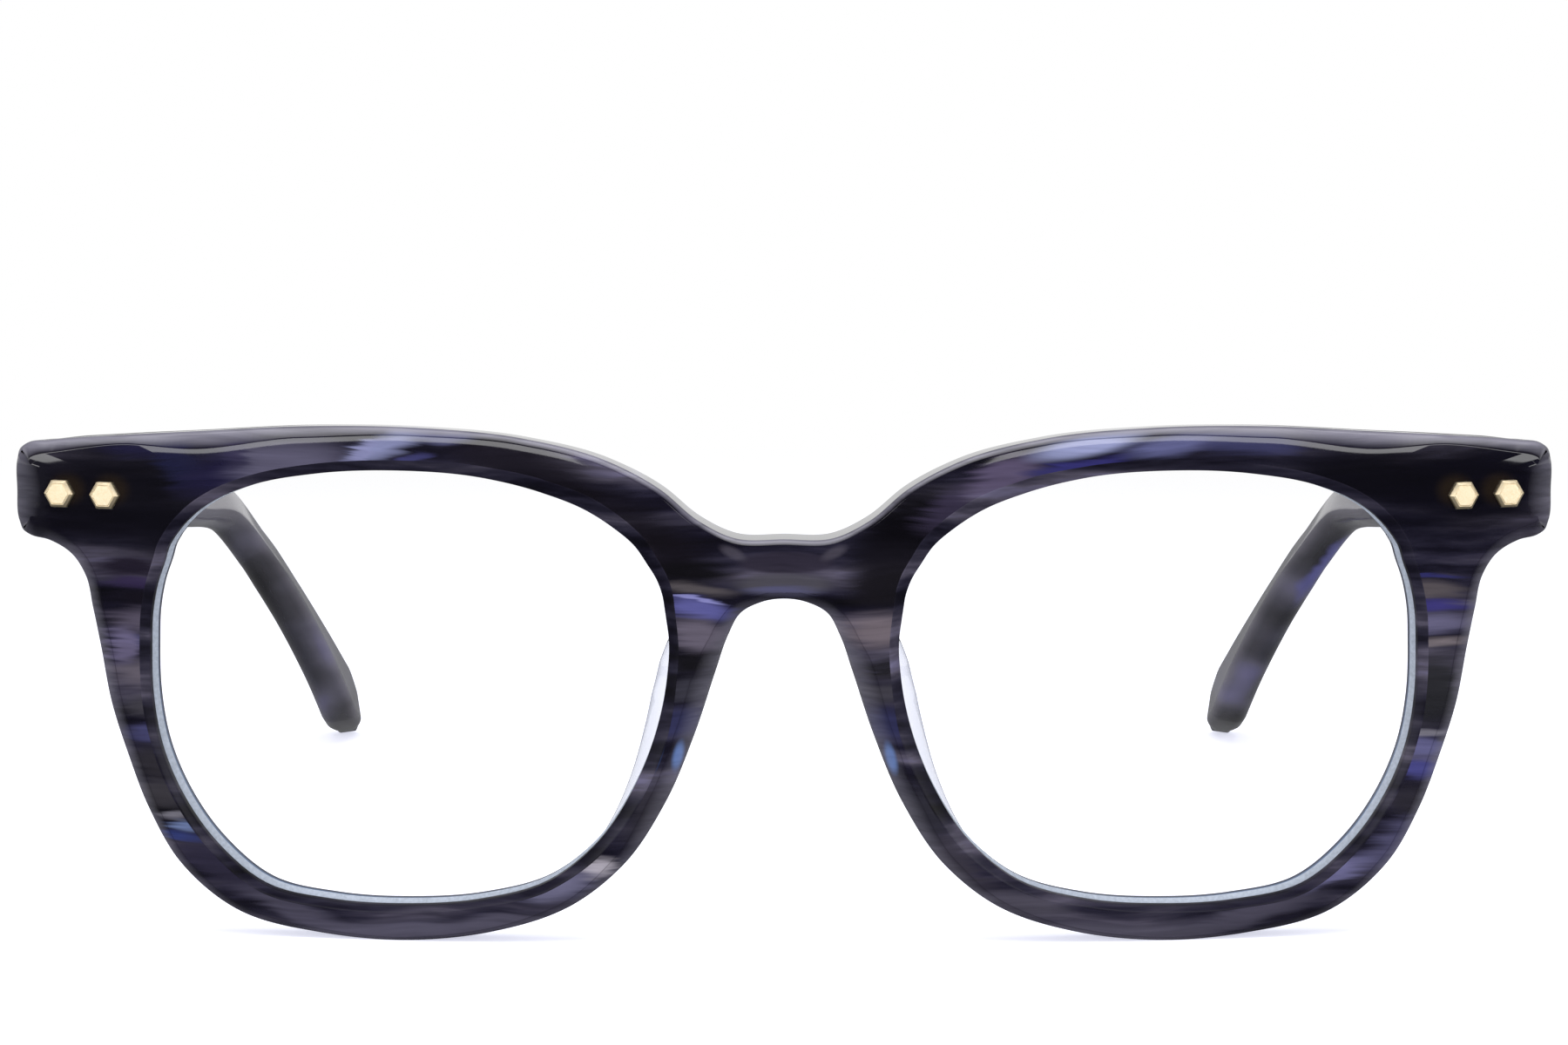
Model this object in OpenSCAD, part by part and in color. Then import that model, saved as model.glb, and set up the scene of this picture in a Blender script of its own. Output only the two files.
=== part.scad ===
// Rectangular eyeglasses with a bevelled acetate front, standing open on the rims and the temple tips.
// X runs across the face, Y from the front towards the wearer, Z up, all in millimetres.
// The origin is on the surface they stand on, in the middle of the space they take up.

/* [Lenses] */
// Width of a lens opening
lens_w = 48.7; // [46.2:0.5:51.2]
// Height of a lens opening
lens_h = 41.2; // [39:0.2:44]
// Thickness of a lens
lens_t = 1.6; // [1.3:0.1:1.8]
// Depth of the groove that holds the lens edge
groove_d = 0.85; // [0.7:0.05:1]
// Free space between the lens edge and the bottom of its groove
lens_gap = 0.12; // [0.08:0.02:0.2]

/* [Front] */
// Gap between the two lens openings, over the nose
bridge_gap = 21.3; // [19:0.1:24]
// Height of the bridge at its middle
bridge_h = 5.55; // [4.6:0.05:6.5]
// Height of the bridge's underside above the middle of the lenses
bridge_rise = 9.1; // [8:0.1:10]
// Thickness of the front
front_t = 4.2; // [3.8:0.1:4.6]
// Extra thickness at the bridge
bridge_extra = 1.8; // [0.6:0.1:2.4]
// Extra thickness at the end pieces, where the temples butt
end_extra = 0.9; // [0.5:0.1:1.4]
// Height of the brow over a lens
brow_h = 4.0; // [3.4:0.1:5]
// Width of the rim beside a lens
side_w = 4.8; // [4:0.1:5.6]
// Width of the rim under a lens
under_w = 3.4; // [2.8:0.1:4]
// Width of the rim on the nose side of a lens
nose_w = 3.4; // [3:0.1:4]
// Reach of the end piece past the lens opening
end_reach = 13.0; // [12.6:0.1:14]
// Height of the end piece
end_h = 9.2; // [8.8:0.1:10]
// Width of the bevel along the outer edge
bevel_w = 1.0; // [0.7:0.05:1.2]
// Width of the large bevel at the end of an end piece
end_bevel = 3.0; // [2.4:0.1:3.2]
// Width of the large bevel down each side of the nose
nose_bevel = 2.0; // [1.6:0.05:2.2]
// Width of the bevel round a lens opening
lens_bevel = 0.9; // [0.7:0.05:1]
// Radius of the sphere that the front is curved to
base_radius = 265; // [230:5:320]
// Angle by which the top of the front leans forward
front_lean = 3.5; // [2:0.25:5]

/* [Nose pads] */
// Height of a pad behind the front
pad_h = 5.0; // [4:0.25:6]
// Overhang of a pad past the edge of the lens opening
pad_overhang = 1.5; // [0.8:0.1:2]

/* [Studs] */
// Width of a stud's six-sided head across its flats
stud_flats = 2.5; // [2.2:0.1:2.8]
// Height of a stud's head
stud_head_h = 0.85; // [0.6:0.05:1.1]
// Diameter of a stud's shank
stud_shank_d = 1.4; // [1:0.1:1.6]
// Length of a stud's shank
stud_shank_l = 2.0; // [1.4:0.1:2.2]
// Distance between the two studs of an end piece
stud_pitch = 4.35; // [3.6:0.05:4.8]
// Distance from the outer stud to the end of the end piece
stud_edge = 4.7; // [4.2:0.1:5]

/* [Temples] */
// Distance from the seat on the front to the back of the temple tip
temple_reach = 132; // [126:1:138]
// Height of a temple at the hinge
temple_h = 8.0; // [7.6:0.1:8.8]
// Thickness of a temple
temple_t = 4.2; // [3.8:0.1:4.6]
// Height of the broad end that sits behind the ear
tip_h = 9.0; // [8:0.1:10]
// Thickness of the core wire
wire_t = 1.2; // [1:0.1:1.4]
// Height of the core wire
wire_h = 2.4; // [2:0.1:3]
// Gap between a temple's end and its seat on the front
butt_gap = 0.15; // [0.1:0.05:0.25]

/* [Hinges] */
// Diameter of the hinge knuckles
knuckle_d = 2.8; // [2.6:0.1:3]
// Height of one hinge knuckle
knuckle_h = 1.3; // [1.1:0.05:1.4]
// Gap between two hinge knuckles
knuckle_gap = 0.06; // [0.04:0.01:0.1]
// Diameter of the hinge screw
screw_d = 1.4; // [1.2:0.05:1.5]
// Diameter of the head of the hinge screw
screw_head_d = 2.2; // [2:0.05:2.3]
// Play of the screw in the temple's knuckles, on the radius
screw_play = 0.04; // [0.03:0.01:0.06]
// Thickness of the hinge plates
plate_t = 0.9; // [0.7:0.1:1.2]

/* [Hidden] */

fit = 0.02;
round_steps = 64;
sphere_steps = 256;

// The two halves are alike, so everything is made for the half at positive X, which the wearer calls left.
left = 1;
right = -1;

// Places on the flat outline of the front, as [across, up], before it is curved and leaned.
half_lens = [lens_w / 2, lens_h / 2];
lens_mid = [bridge_gap / 2 + lens_w / 2, under_w + lens_h / 2];
lens_outer = bridge_gap / 2 + lens_w;
lens_top = under_w + lens_h;
bridge_low = lens_mid[1] + bridge_rise;
bridge_top = bridge_low + bridge_h;
end_x = lens_outer + end_reach;
end_top = lens_top + 1.7;
end_low = end_top - end_h;
end_mid = (end_top + end_low) / 2;

// A point of the lens edge, given as shares of half the lens size from its middle.
function edge(sx, sy) = [lens_mid[0] + sx * half_lens[0], lens_mid[1] + sy * half_lens[1]];
// A point of the outline across the rim of the given width from a point of the lens edge.
function across(p, w, dx, dy) = [p[0] + w * dx, p[1] + w * dy];
// A point of the outline of the bridge, as a share of half the gap and a height.
function over_nose(share, up) = [share * bridge_gap / 2, up];

// Stations round the lens opening, clockwise from the middle of the bridge's top. Each is
// [lens edge, outline, steps to the next, facet width, edge depth, extra thickness, lens bevel share].
nose_edge = [edge(-0.92, 0.59), edge(-0.87, 0.675), edge(-0.79, 0.755), edge(-0.69, 0.83)];
brow_edge = [edge(-0.51, 0.913), edge(-0.28, 0.976), edge(0.03, 1), edge(0.36, 0.976)];
low_edge = [edge(0.749, -0.755), edge(0.57, -0.925), edge(0.31, -0.99), edge(0.02, -1)];
pad_edge = [edge(-0.722, -0.687), edge(-0.86, -0.437), edge(-0.944, -0.19), edge(-0.993, 0.09)];
stations = [
    [nose_edge[0], over_nose(0, bridge_top), 2, 0.5, 0.45, bridge_extra, 1.2],
    [nose_edge[1], over_nose(0.43, bridge_top + 0.1), 2, 0.5, 0.45, bridge_extra, 1.3],
    [nose_edge[2], across(nose_edge[2], brow_h, -1.98, 0.19), 2, 0.5, 0.45, bridge_extra * 0.85, 1.4],
    [nose_edge[3], across(nose_edge[3], brow_h, -1.7, 0.53), 3, 0.5, 0.45, bridge_extra * 0.6, 1.45],
    [brow_edge[0], across(brow_edge[0], brow_h, -1.56, 0.75), 4, 0.5, 0.45, bridge_extra * 0.3, 1.35],
    [brow_edge[1], across(brow_edge[1], brow_h, -1.0, 0.92), 3, 0.55, 0.5, 0, 1.15],
    [brow_edge[2], across(brow_edge[2], brow_h, -0.4, 1), 3, 0.7, 0.6, 0, 1],
    [brow_edge[3], across(brow_edge[3], brow_h, 0.25, 1.1), 3, bevel_w, 0.8, 0, 0.95],
    [edge(0.6, 0.917), [lens_outer - 5.1, end_top + 1.5], 3, bevel_w * 1.6, 0.95, 0.2, 0.9],
    [edge(0.735, 0.85), [lens_outer + 3, end_top + 0.85], 3, bevel_w * 0.8, 0.75, 0.5, 0.9],
    [edge(0.8, 0.8), [end_x - 3.3, end_top + 0.15], 2, bevel_w * 1.15, 0.9, end_extra, 0.9],
    [edge(0.83, 0.77), [end_x - 1.15, end_top - 0.2], 1, end_bevel * 0.5, 0.95, end_extra, 0.9],
    [edge(0.845, 0.752), [end_x - 0.4, end_top - 0.75], 1, end_bevel * 0.7, 1.0, end_extra, 0.9],
    [edge(0.86, 0.734), [end_x - 0.1, end_top - 1.7], 2, end_bevel * 0.9, 1.05, end_extra, 0.9],
    [edge(0.875, 0.714), [end_x, end_mid], 2, end_bevel, 1.1, end_extra, 0.9],
    [edge(0.89, 0.69), [end_x - 0.25, end_low + 1.5], 1, end_bevel * 0.85, 1.05, end_extra, 0.9],
    [edge(0.9, 0.675), [end_x - 0.6, end_low + 0.75], 1, end_bevel * 0.65, 1.0, end_extra, 0.85],
    [edge(0.91, 0.656), [end_x - 1.35, end_low + 0.3], 2, bevel_w * 1.5, 0.95, end_extra, 0.85],
    [edge(0.923, 0.63), [end_x - 3.2, end_low - 0.1], 2, bevel_w * 1.3, 0.9, end_extra, 0.85],
    [edge(0.942, 0.56), across(edge(0.942, 0.56), side_w, 1.86, 0.03), 2, bevel_w * 1.3, 0.9, 0.5, 0.85],
    [edge(0.972, 0.457), across(edge(0.972, 0.457), side_w, 1.46, 0.1), 2, bevel_w * 1.35, 0.85, 0.2, 0.8],
    [edge(0.993, 0.33), across(edge(0.993, 0.33), side_w, 1.21, 0), 3, bevel_w * 1.4, 0.85, 0, 0.8],
    [edge(1, 0.17), across(edge(1, 0.17), side_w, 1.03, -0.06), 4, bevel_w * 1.45, 0.85, 0, 0.8],
    [edge(0.996, -0.08), across(edge(0.996, -0.08), side_w, 0.85, -0.12), 3, bevel_w * 1.45, 0.85, 0, 0.75],
    [edge(0.965, -0.295), across(edge(0.965, -0.295), side_w, 0.7, -0.21), 3, bevel_w * 1.4, 0.85, 0, 0.6],
    [edge(0.888, -0.522), across(edge(0.888, -0.522), side_w, 0.69, -0.32), 3, bevel_w * 1.3, 0.85, 0, 0.6],
    [low_edge[0], across(low_edge[0], under_w, 1.11, -0.54), 3, bevel_w * 1.15, 0.8, 0, 0.6],
    [low_edge[1], across(low_edge[1], under_w, 0.8, -0.79), 3, bevel_w * 0.9, 0.7, 0, 0.6],
    [low_edge[2], across(low_edge[2], under_w, 0.27, -0.94), 3, bevel_w * 0.55, 0.5, 0, 0.6],
    [low_edge[3], across(low_edge[3], under_w, 0.15, -1), 3, bevel_w * 0.4, 0.4, 0, 0.55],
    [edge(-0.265, -0.968), across(edge(-0.265, -0.968), under_w, -0.3, -0.9), 3, bevel_w * 0.5, 0.45, 0, 0.5],
    [edge(-0.535, -0.87), across(edge(-0.535, -0.87), under_w, -0.55, -0.75), 3, bevel_w * 0.8, 0.7, 0, 0.7],
    [pad_edge[0], across(pad_edge[0], nose_w, -0.72, -0.65), 3, nose_bevel * 0.6, 0.95, 0, 0.95],
    [pad_edge[1], across(pad_edge[1], nose_w, -0.9, -0.38), 3, nose_bevel * 0.8, 1.3, 0, 1.15],
    [pad_edge[2], across(pad_edge[2], nose_w, -1.08, 0), 3, nose_bevel * 0.9, 1.6, 0, 1.2],
    [pad_edge[3], across(pad_edge[3], nose_w, -1.32, 0.1), 3, nose_bevel, 1.7, 0, 0.95],
    [edge(-1, 0.25), over_nose(0.485, bridge_low - 3.5), 2, nose_bevel * 0.75, 1.3, bridge_extra * 0.2, 0.9],
    [edge(-0.99, 0.345), over_nose(0.38, bridge_low - 1.45), 2, nose_bevel * 0.6, 1, bridge_extra / 2, 0.95],
    [edge(-0.983, 0.4), over_nose(0.2, bridge_low - 0.35), 2, nose_bevel * 0.4, 0.7, bridge_extra * 0.85, 1],
    [edge(-0.977, 0.445), over_nose(0, bridge_low), 1, nose_bevel * 0.3, 0.6, bridge_extra, 1.05],
    [edge(-0.966, 0.49), over_nose(0, bridge_low + bridge_h / 3), 1, 0, 0, bridge_extra, 1.1],
    [edge(-0.947, 0.54), over_nose(0, bridge_low + bridge_h * 2 / 3), 1, 0, 0, bridge_extra, 1.15]
];
station_count = len(stations);
underside_station = station_count - 3;

// Slope of a smooth curve at its middle knot, from the knots on each side.
function slope(a, b, c) =
    let (before = norm(b - a), after = norm(c - b))
    ((b - a) * after / before + (c - b) * before / after) / (before + after);

// Point of the smooth curve between two knots with given slopes.
function between(p, q, sp, sq, f) =
    let (l = norm(q - p), ff = f * f, fff = f * f * f)
    p * (2 * fff - 3 * ff + 1) + q * (3 * ff - 2 * fff) + sp * l * (fff - 2 * ff + f) + sq * l * (fff - ff);

// Direction of the same curve.
function heading(p, q, sp, sq, f) =
    let (l = norm(q - p), ff = f * f)
    let (d = (p - q) * (6 * ff - 6 * f) + sp * l * (3 * ff - 4 * f + 1) + sq * l * (3 * ff - 2 * f))
    d / norm(d);

function mirrored(p) = [-p[0], p[1]];
function lens_knot(i) = stations[(i + station_count) % station_count][0];
function rim_knot(i) =
    i < 0 ? mirrored(stations[1][1])
    : i > underside_station ? mirrored(stations[underside_station - 1][1])
    : stations[i][1];
function lens_slope(i) = slope(lens_knot(i - 1), lens_knot(i), lens_knot(i + 1));
function rim_slope(i) = slope(rim_knot(i - 1), rim_knot(i), rim_knot(i + 1));
function blend(a, b, f) = a + (b - a) * f;

// A spoke is [lens edge, its normal into the rim, outline, its normal into the rim,
// sizes of the section, whether it ends on the middle of the bridge, whether it ends inside the bridge].
function spoke(i, f) =
    let (a = stations[i], b = stations[(i + 1) % station_count])
    let (lens_dir = heading(a[0], b[0], lens_slope(i), lens_slope(i + 1), f))
    let (bridge = i >= underside_station, middle = i > underside_station || (bridge && f > 0))
    let (rim_dir = bridge ? (i == underside_station ? [-1, 0] : [1, 0])
        : heading(a[1], b[1], rim_slope(i), rim_slope(i + 1), f))
    [
        between(a[0], b[0], lens_slope(i), lens_slope(i + 1), f),
        [-lens_dir[1], lens_dir[0]],
        bridge ? blend(a[1], b[1], f) : between(a[1], b[1], rim_slope(i), rim_slope(i + 1), f),
        [rim_dir[1], -rim_dir[0]],
        [for (k = [3:6]) blend(a[k], b[k], f)],
        bridge || (i == 0 && f == 0),
        middle
    ];
spokes = [for (i = [0:station_count - 1]) for (s = [0:stations[i][2] - 1]) spoke(i, s / stations[i][2])];

// Depths of the cross-section behind the front face.
groove_mid = 2.0;
groove_mouth = 0.8;
groove_floor = 0.3;
bevel_d = 0.65;
rear_chamfer = 0.4;
rear_lip = 0.1;

// Cross-section of the rim along one spoke, as [place on the outline, depth behind the face].
function section(s) =
    let (p = s[0], n = s[1], q = s[2], m = s[3], w = s[4][0], d = s[4][1], t = front_t + s[4][2])
    let (face_in = p + n * lens_bevel * s[4][3], face_out = s[6] ? q : q + m * w)
    let (back_in = p + n * (rear_chamfer + rear_lip), back_out = s[6] ? q : q + m * rear_chamfer)
    [
        [back_in, front_t],
        [p + n * rear_lip, front_t - rear_chamfer],
        [p + n * rear_lip, groove_mid + groove_mouth],
        [p + n * groove_d, groove_mid + groove_floor],
        [p + n * groove_d, groove_mid - groove_floor],
        [p, groove_mid - groove_mouth],
        [p, bevel_d * s[4][3]],
        [face_in, 0],
        [blend(face_in, face_out, 1 / 3), 0],
        [blend(face_in, face_out, 2 / 3), 0],
        [face_out, 0],
        [q + m * w * 0.12, d * 0.82],
        [q, d * 1.2],
        [q, t - rear_chamfer],
        [back_out, t],
        [blend(back_out, back_in, 1 / 3), blend(t, front_t, 1 / 3)],
        [blend(back_out, back_in, 2 / 3), blend(t, front_t, 2 / 3)]
    ];
section_count = 17;
face_out_at = 10;
back_out_at = 14;

// The flat outline is wrapped on a sphere, with depths measured square to it.
sphere_mid = [0, base_radius, lens_mid[1]];
function curved(p, t) =
    let (up = p[1] - lens_mid[1], k = (base_radius - t) / base_radius)
    let (out = sqrt(base_radius * base_radius - p[0] * p[0] - up * up))
    sphere_mid + [p[0], -out, up] * k;
function leaned(p) = [
    p[0],
    p[1] * cos(front_lean) - p[2] * sin(front_lean),
    p[1] * sin(front_lean) + p[2] * cos(front_lean)
];

rim_points = [for (s = spokes) for (c = section(s)) curved(c[0], c[1])];
spoke_count = len(spokes);
half_count = spoke_count * section_count;

// Index of a rim point, where both halves share the points on the middle of the bridge.
function rim_index(half, i, j) =
    let (spoke_at = i % spoke_count, place = j % section_count)
    let (shared = spokes[spoke_at][5] && place >= face_out_at && place <= back_out_at)
    spoke_at * section_count + place + (half == 1 && !shared ? half_count : 0);

// The strip of two triangles between two spokes, turned over on the mirrored half.
function strip(half, i, j) =
    let (a = rim_index(half, i, j), b = rim_index(half, i + 1, j))
    let (c = rim_index(half, i + 1, j + 1), d = rim_index(half, i, j + 1))
    half == 0 ? [[a, b, c], [a, c, d]] : [[c, b, a], [d, c, a]];
function open_strip(i, j) =
    spokes[i][5] && spokes[(i + 1) % spoke_count][5] && j >= face_out_at && j < back_out_at;
rim_faces = [
    for (half = [0, 1]) for (i = [0:spoke_count - 1]) for (j = [0:section_count - 1])
        if (!open_strip(i, j)) for (t = strip(half, i, j)) t
];

// Height that stands the leaned rims on the ground, and the nearest and the lowest point of the front.
leaned_points = [for (p = rim_points) leaned(p)];
ground = min([for (p = leaned_points) p[2]]);
front_y = min([for (p = leaned_points) p[1]]);

// Places of the hinge and the temple, which stand upright and don't lean with the front.
end_back = leaned(curved([end_x - 2, end_mid], front_t + end_extra));
temple_flare = 0.9;
temple_outer = end_back[0] + temple_flare;
temple_x = temple_outer - temple_t / 2;
temple_inner = temple_outer - temple_t;
hinge_z = end_back[2] - ground - 0.1;
seat_y = leaned(curved([temple_inner, end_mid], front_t + end_extra * 0.6))[1];
knuckle_r = knuckle_d / 2;
hinge_clear = 0.1;
hinge_x = temple_inner - knuckle_r - hinge_clear;
hinge_y = seat_y + knuckle_r + 0.25;
hinge_h = 5 * knuckle_h + 4 * knuckle_gap;
hinge_low = hinge_z - hinge_h / 2;

// Centre line of a temple, from its butt end to its tip.
// Each row is [share of the reach, distance inwards, height, section height, section tilt, section roll].
butt_y = seat_y + butt_gap;
ear_z = hinge_z - 9.5;
tip_z = 2.4;
temple_rows = [
    [0, 0, hinge_z, temple_h, 0, 0],
    [0.12, 0.35, hinge_z - 1, temple_h, 3, 0],
    [0.3, 1.9, hinge_z - 3.6, temple_h * 0.9, 6, 6],
    [0.48, 4.3, hinge_z - 7.1, temple_h * 0.72, 9, 18],
    [0.58, 6.7, ear_z, temple_h * 0.6, 16, 25],
    [0.665, 9.1, blend(ear_z, tip_z, 0.19), temple_h * 0.62, 28, 27],
    [0.76, 11.5, blend(ear_z, tip_z, 0.425), temple_h * 0.76, 33, 25],
    [0.86, 13.8, blend(ear_z, tip_z, 0.69), tip_h * 0.84, 34, 19],
    [0.94, 15.1, blend(ear_z, tip_z, 0.885), tip_h * 0.84, 34, 11],
    [1, 15.6, tip_z, tip_h * 0.66, 34, 9]
];
temple_steps = [2, 4, 4, 5, 5, 5, 4, 3, 3];
temple_ends = len(temple_rows) - 1;
// Curve through the rows, with straight ends.
function temple_knot(i) = [
    temple_x - temple_rows[i][1],
    butt_y + temple_rows[i][0] * temple_reach,
    temple_rows[i][2]
];
function temple_slope(i) =
    i == 0 ? (temple_knot(1) - temple_knot(0)) / norm(temple_knot(1) - temple_knot(0))
    : i == temple_ends ? (temple_knot(i) - temple_knot(i - 1)) / norm(temple_knot(i) - temple_knot(i - 1))
    : slope(temple_knot(i - 1), temple_knot(i), temple_knot(i + 1));

// A ring is [centre, sideways, upwards, section height].
function temple_ring(i, f) =
    let (a = temple_knot(i), b = temple_knot(i + 1), sa = temple_slope(i), sb = temple_slope(i + 1))
    let (dir = heading(a, b, sa, sb, f), turn = i == 0 && f == 0 ? 0 : atan2(-dir[0], dir[1]))
    let (tilt = blend(temple_rows[i][4], temple_rows[i + 1][4], f))
    let (roll = blend(temple_rows[i][5], temple_rows[i + 1][5], f))
    let (side = [cos(turn), sin(turn), 0], up = [0, sin(tilt), cos(tilt)])
    [
        between(a, b, sa, sb, f),
        side * cos(roll) - up * sin(roll),
        up * cos(roll) + side * sin(roll),
        blend(temple_rows[i][3], temple_rows[i + 1][3], f)
    ];
tip_steps = 5;
body_rings = [
    for (i = [0:temple_ends - 2]) for (s = [0:temple_steps[i] - 1]) temple_ring(i, s / temple_steps[i])
];
// The end of the tip is rounded, with rings that shrink along a quarter circle, most of it at the top.
tip_drop = 0.45;
tip_rings = [
    for (s = [0:tip_steps])
        let (a = 90 * s / (tip_steps + 0.4), r = temple_ring(temple_ends - 1, sin(a)))
        [r[0] - r[2] * r[3] * (1 - cos(a)) * tip_drop, r[1], r[2], r[3] * cos(a)]
];
temple_rings = concat(body_rings, tip_rings);

// Corners of a rounded section, with the shorter side across.
function rounded(w, h, r) = [
    for (corner = [[1, 1, 0], [-1, 1, 90], [-1, -1, 180], [1, -1, 270]]) for (a = [0, 45, 90])
        [
            corner[0] * (w / 2 - r) + r * cos(corner[2] + a),
            corner[1] * (h / 2 - r) + r * sin(corner[2] + a)
        ]
];
temple_round = 1.2;
function ring_points(ring, w, h, r) = [for (c = rounded(w, h, r)) ring[0] + ring[1] * c[0] + ring[2] * c[1]];
function temple_corner(h) = min(temple_round, h * 0.42);
function temple_width(h) = temple_t * min(1, 0.45 + 0.55 * h / (tip_h * 0.6));
raw_temple = [
    for (r = temple_rings) let (w = temple_width(r[3]))
        each ring_points(r, w, r[3], min(temple_corner(r[3]), w * 0.4))
];
temple_low = min([for (p = raw_temple) p[2]]);
temple_far = max([for (p = raw_temple) p[1]]);

// Lowers the far end of a temple until its tip stands on the ground.
function grounded(p) = p - [0, 0, temple_low * max(0, (p[1] - butt_y) / (temple_far - butt_y))];
ring_sides = 12;

// Closed tube through rings of the same number of points.
function tube_faces(rings, sides) = concat(
    [[for (j = [sides - 1:-1:0]) j]],
    [
        for (i = [0:rings - 2]) for (j = [0:sides - 1])
            let (a = i * sides + j, b = i * sides + (j + 1) % sides)
            each [[a, b, b + sides], [a, b + sides, a + sides]]
    ],
    [[for (j = [0:sides - 1]) (rings - 1) * sides + j]]
);

// Shift that puts the middle of the whole object over the origin.
middle_y = (front_y + temple_far) / 2;

module in_place() {
    translate([0, -middle_y, 0]) children();
}

module on_side(side) {
    mirror([side == left ? 0 : 1, 0, 0]) children();
}

module lean_front() {
    translate([0, 0, -ground]) rotate([front_lean, 0, 0]) children();
}

// Puts children on the face of the curved front, with Z pointing out of it.
module on_face(p) {
    up = p[1] - lens_mid[1];
    turn = atan2(p[0], sqrt(base_radius * base_radius - p[0] * p[0] - up * up));
    translate(sphere_mid) rotate([0, 0, turn]) rotate([-asin(up / base_radius), 0, 0])
        translate([0, -base_radius, 0]) rotate([90, 0, 0]) children();
}

// Front

module rim_solid() {
    other_half = [for (p = rim_points) [-p[0], p[1], p[2]]];
    polyhedron(points = concat(rim_points, other_half), faces = rim_faces, convexity = 12);
}

stud_up = end_mid - 0.15;
stud_sink = 0.25;
stud_gap = 0.06;
function stud_place(which) = [end_x - stud_edge - (which == "outer" ? 0 : stud_pitch), stud_up];

module stud_hole() {
    head_d = (stud_flats + 2 * stud_gap) / cos(30);
    translate([0, 0, -stud_sink]) {
        cylinder(h = 2, d = head_d, $fn = 6);
        translate([0, 0, -stud_shank_l])
            cylinder(h = stud_shank_l + 0.1, d = stud_shank_d + 2 * fit, $fn = round_steps);
    }
}

plate_h = hinge_h;
plate_inner = hinge_x - 4.4;
plate_outer = hinge_x + knuckle_r - 0.1;

// Flat seat at the back of the end piece and the pocket of the hinge plate.
module hinge_seat_cut() {
    margin = 0.6;
    past_rear = 10;
    past_top = 20;
    seat_low = end_low - ground - margin / 2;
    translate([plate_inner - margin, seat_y, seat_low]) cube([end_x, past_rear, past_top]);
    translate([plate_inner - fit, seat_y - plate_t, hinge_low - fit])
        cube([plate_outer - plate_inner + 2 * fit, plate_t + 1, plate_h + 2 * fit]);
}

module front_frame() {
    color("#1c1b2e") difference() {
        lean_front() rim_solid();
        for (side = [left, right]) on_side(side) {
            lean_front() for (which = ["outer", "inner"]) on_face(stud_place(which)) stud_hole();
            hinge_seat_cut();
        }
    }
}

// Lenses

lens_turn = asin(lens_mid[0] / base_radius);
// Lens edge seen square to the middle of the lens, at the depth of the groove.
function facing(p) =
    let (q = curved(p, groove_mid) - sphere_mid)
    [q[0] * cos(lens_turn) + q[1] * sin(lens_turn), q[2]];
function lens_outline(out) = [for (s = spokes) facing(s[0] + s[1] * out)];

module lens_disc(out, front, back) {
    translate(sphere_mid) intersection() {
        rotate([0, 0, lens_turn]) rotate([90, 0, 0])
            translate([0, 0, base_radius - 15]) linear_extrude(height = 20) polygon(lens_outline(out));
        difference() {
            sphere(r = base_radius - front, $fn = sphere_steps);
            sphere(r = base_radius - back, $fn = sphere_steps);
        }
    }
}

module lens(side) {
    tongue = 0.2;
    color("#e8f4fb", 0.35) on_side(side) lean_front() {
        lens_disc(-0.2, groove_mid - lens_t / 2, groove_mid + lens_t / 2);
        lens_disc(groove_d - lens_gap, groove_mid - tongue, groove_mid + tongue);
    }
}

// Nose pads

glue = 0.05;
// Spokes that a pad lies along, from low on the nose side of the rim up to the bridge.
pad_low = lens_mid[1] - half_lens[1] * 0.76;
pad_top = lens_mid[1] + half_lens[1] * 0.33;
pad_span = [
    for (i = [0:spoke_count - 1]) let (p = spokes[i][0])
        if (p[0] < lens_mid[0] && p[1] > pad_low && p[1] < pad_top) i
];
pad_last = len(pad_span) - 1;

// Depth of the rear face at a distance across the rim from its outline.
function rear(s, across) =
    let (w = norm(s[0] - s[2]), f = (across - rear_chamfer) / (w - 2 * rear_chamfer - rear_lip))
    front_t + s[4][2] * min(1, max(0, 1 - f));

// Ring of a pad, from its glued base to a crest that leans over the lens opening.
function pad_ring(k) =
    let (s = spokes[pad_span[k]], f = (k + 0.35) / (pad_last + 0.7), swell = pow(sin(180 * f), 0.6))
    let (reach = pow(sin(180 * f), 0.9) * min(1, 0.2 + 1.4 * f))
    let (p = s[0], q = s[2], w = norm(p - q), dir = (p - q) / w)
    let (h = pad_h * swell, crest = w * (0.55 + 0.45 * sqrt(swell)) + pad_overhang * reach)
    [
        for (c = [
            [w * 0.16, 0], [w * 0.84, 0],
            [blend(w * 0.84, crest, 0.6), h * 0.3],
            [crest, h * 0.66],
            [crest - 0.25 * swell, h * 0.93],
            [crest * 0.8, h],
            [crest * 0.5, h * 0.83],
            [w * 0.16 + 0.1, h * 0.35]
        ])
        curved(q + dir * c[0], rear(s, c[0]) + glue + c[1])
    ];
pad_sides = 8;

module nose_pad(side) {
    color("#f4f6f8", 0.5) on_side(side) lean_front() polyhedron(
        points = [for (k = [0:pad_last]) each pad_ring(k)],
        faces = tube_faces(pad_last + 1, pad_sides)
    );
}

// Studs

module stud(side, which) {
    chamfer = 0.28;
    hex_d = stud_flats / cos(30);
    straight = stud_head_h - chamfer;
    color("#e9d3a8") on_side(side) lean_front() on_face(stud_place(which)) translate([0, 0, -stud_sink]) {
        cylinder(h = straight, d = hex_d, $fn = 6);
        translate([0, 0, straight]) cylinder(h = chamfer, d1 = hex_d, d2 = hex_d - 2.2 * chamfer, $fn = 6);
        translate([0, 0, -stud_shank_l]) cylinder(h = stud_shank_l, d = stud_shank_d, $fn = round_steps);
    }
}

// Hinges

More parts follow.
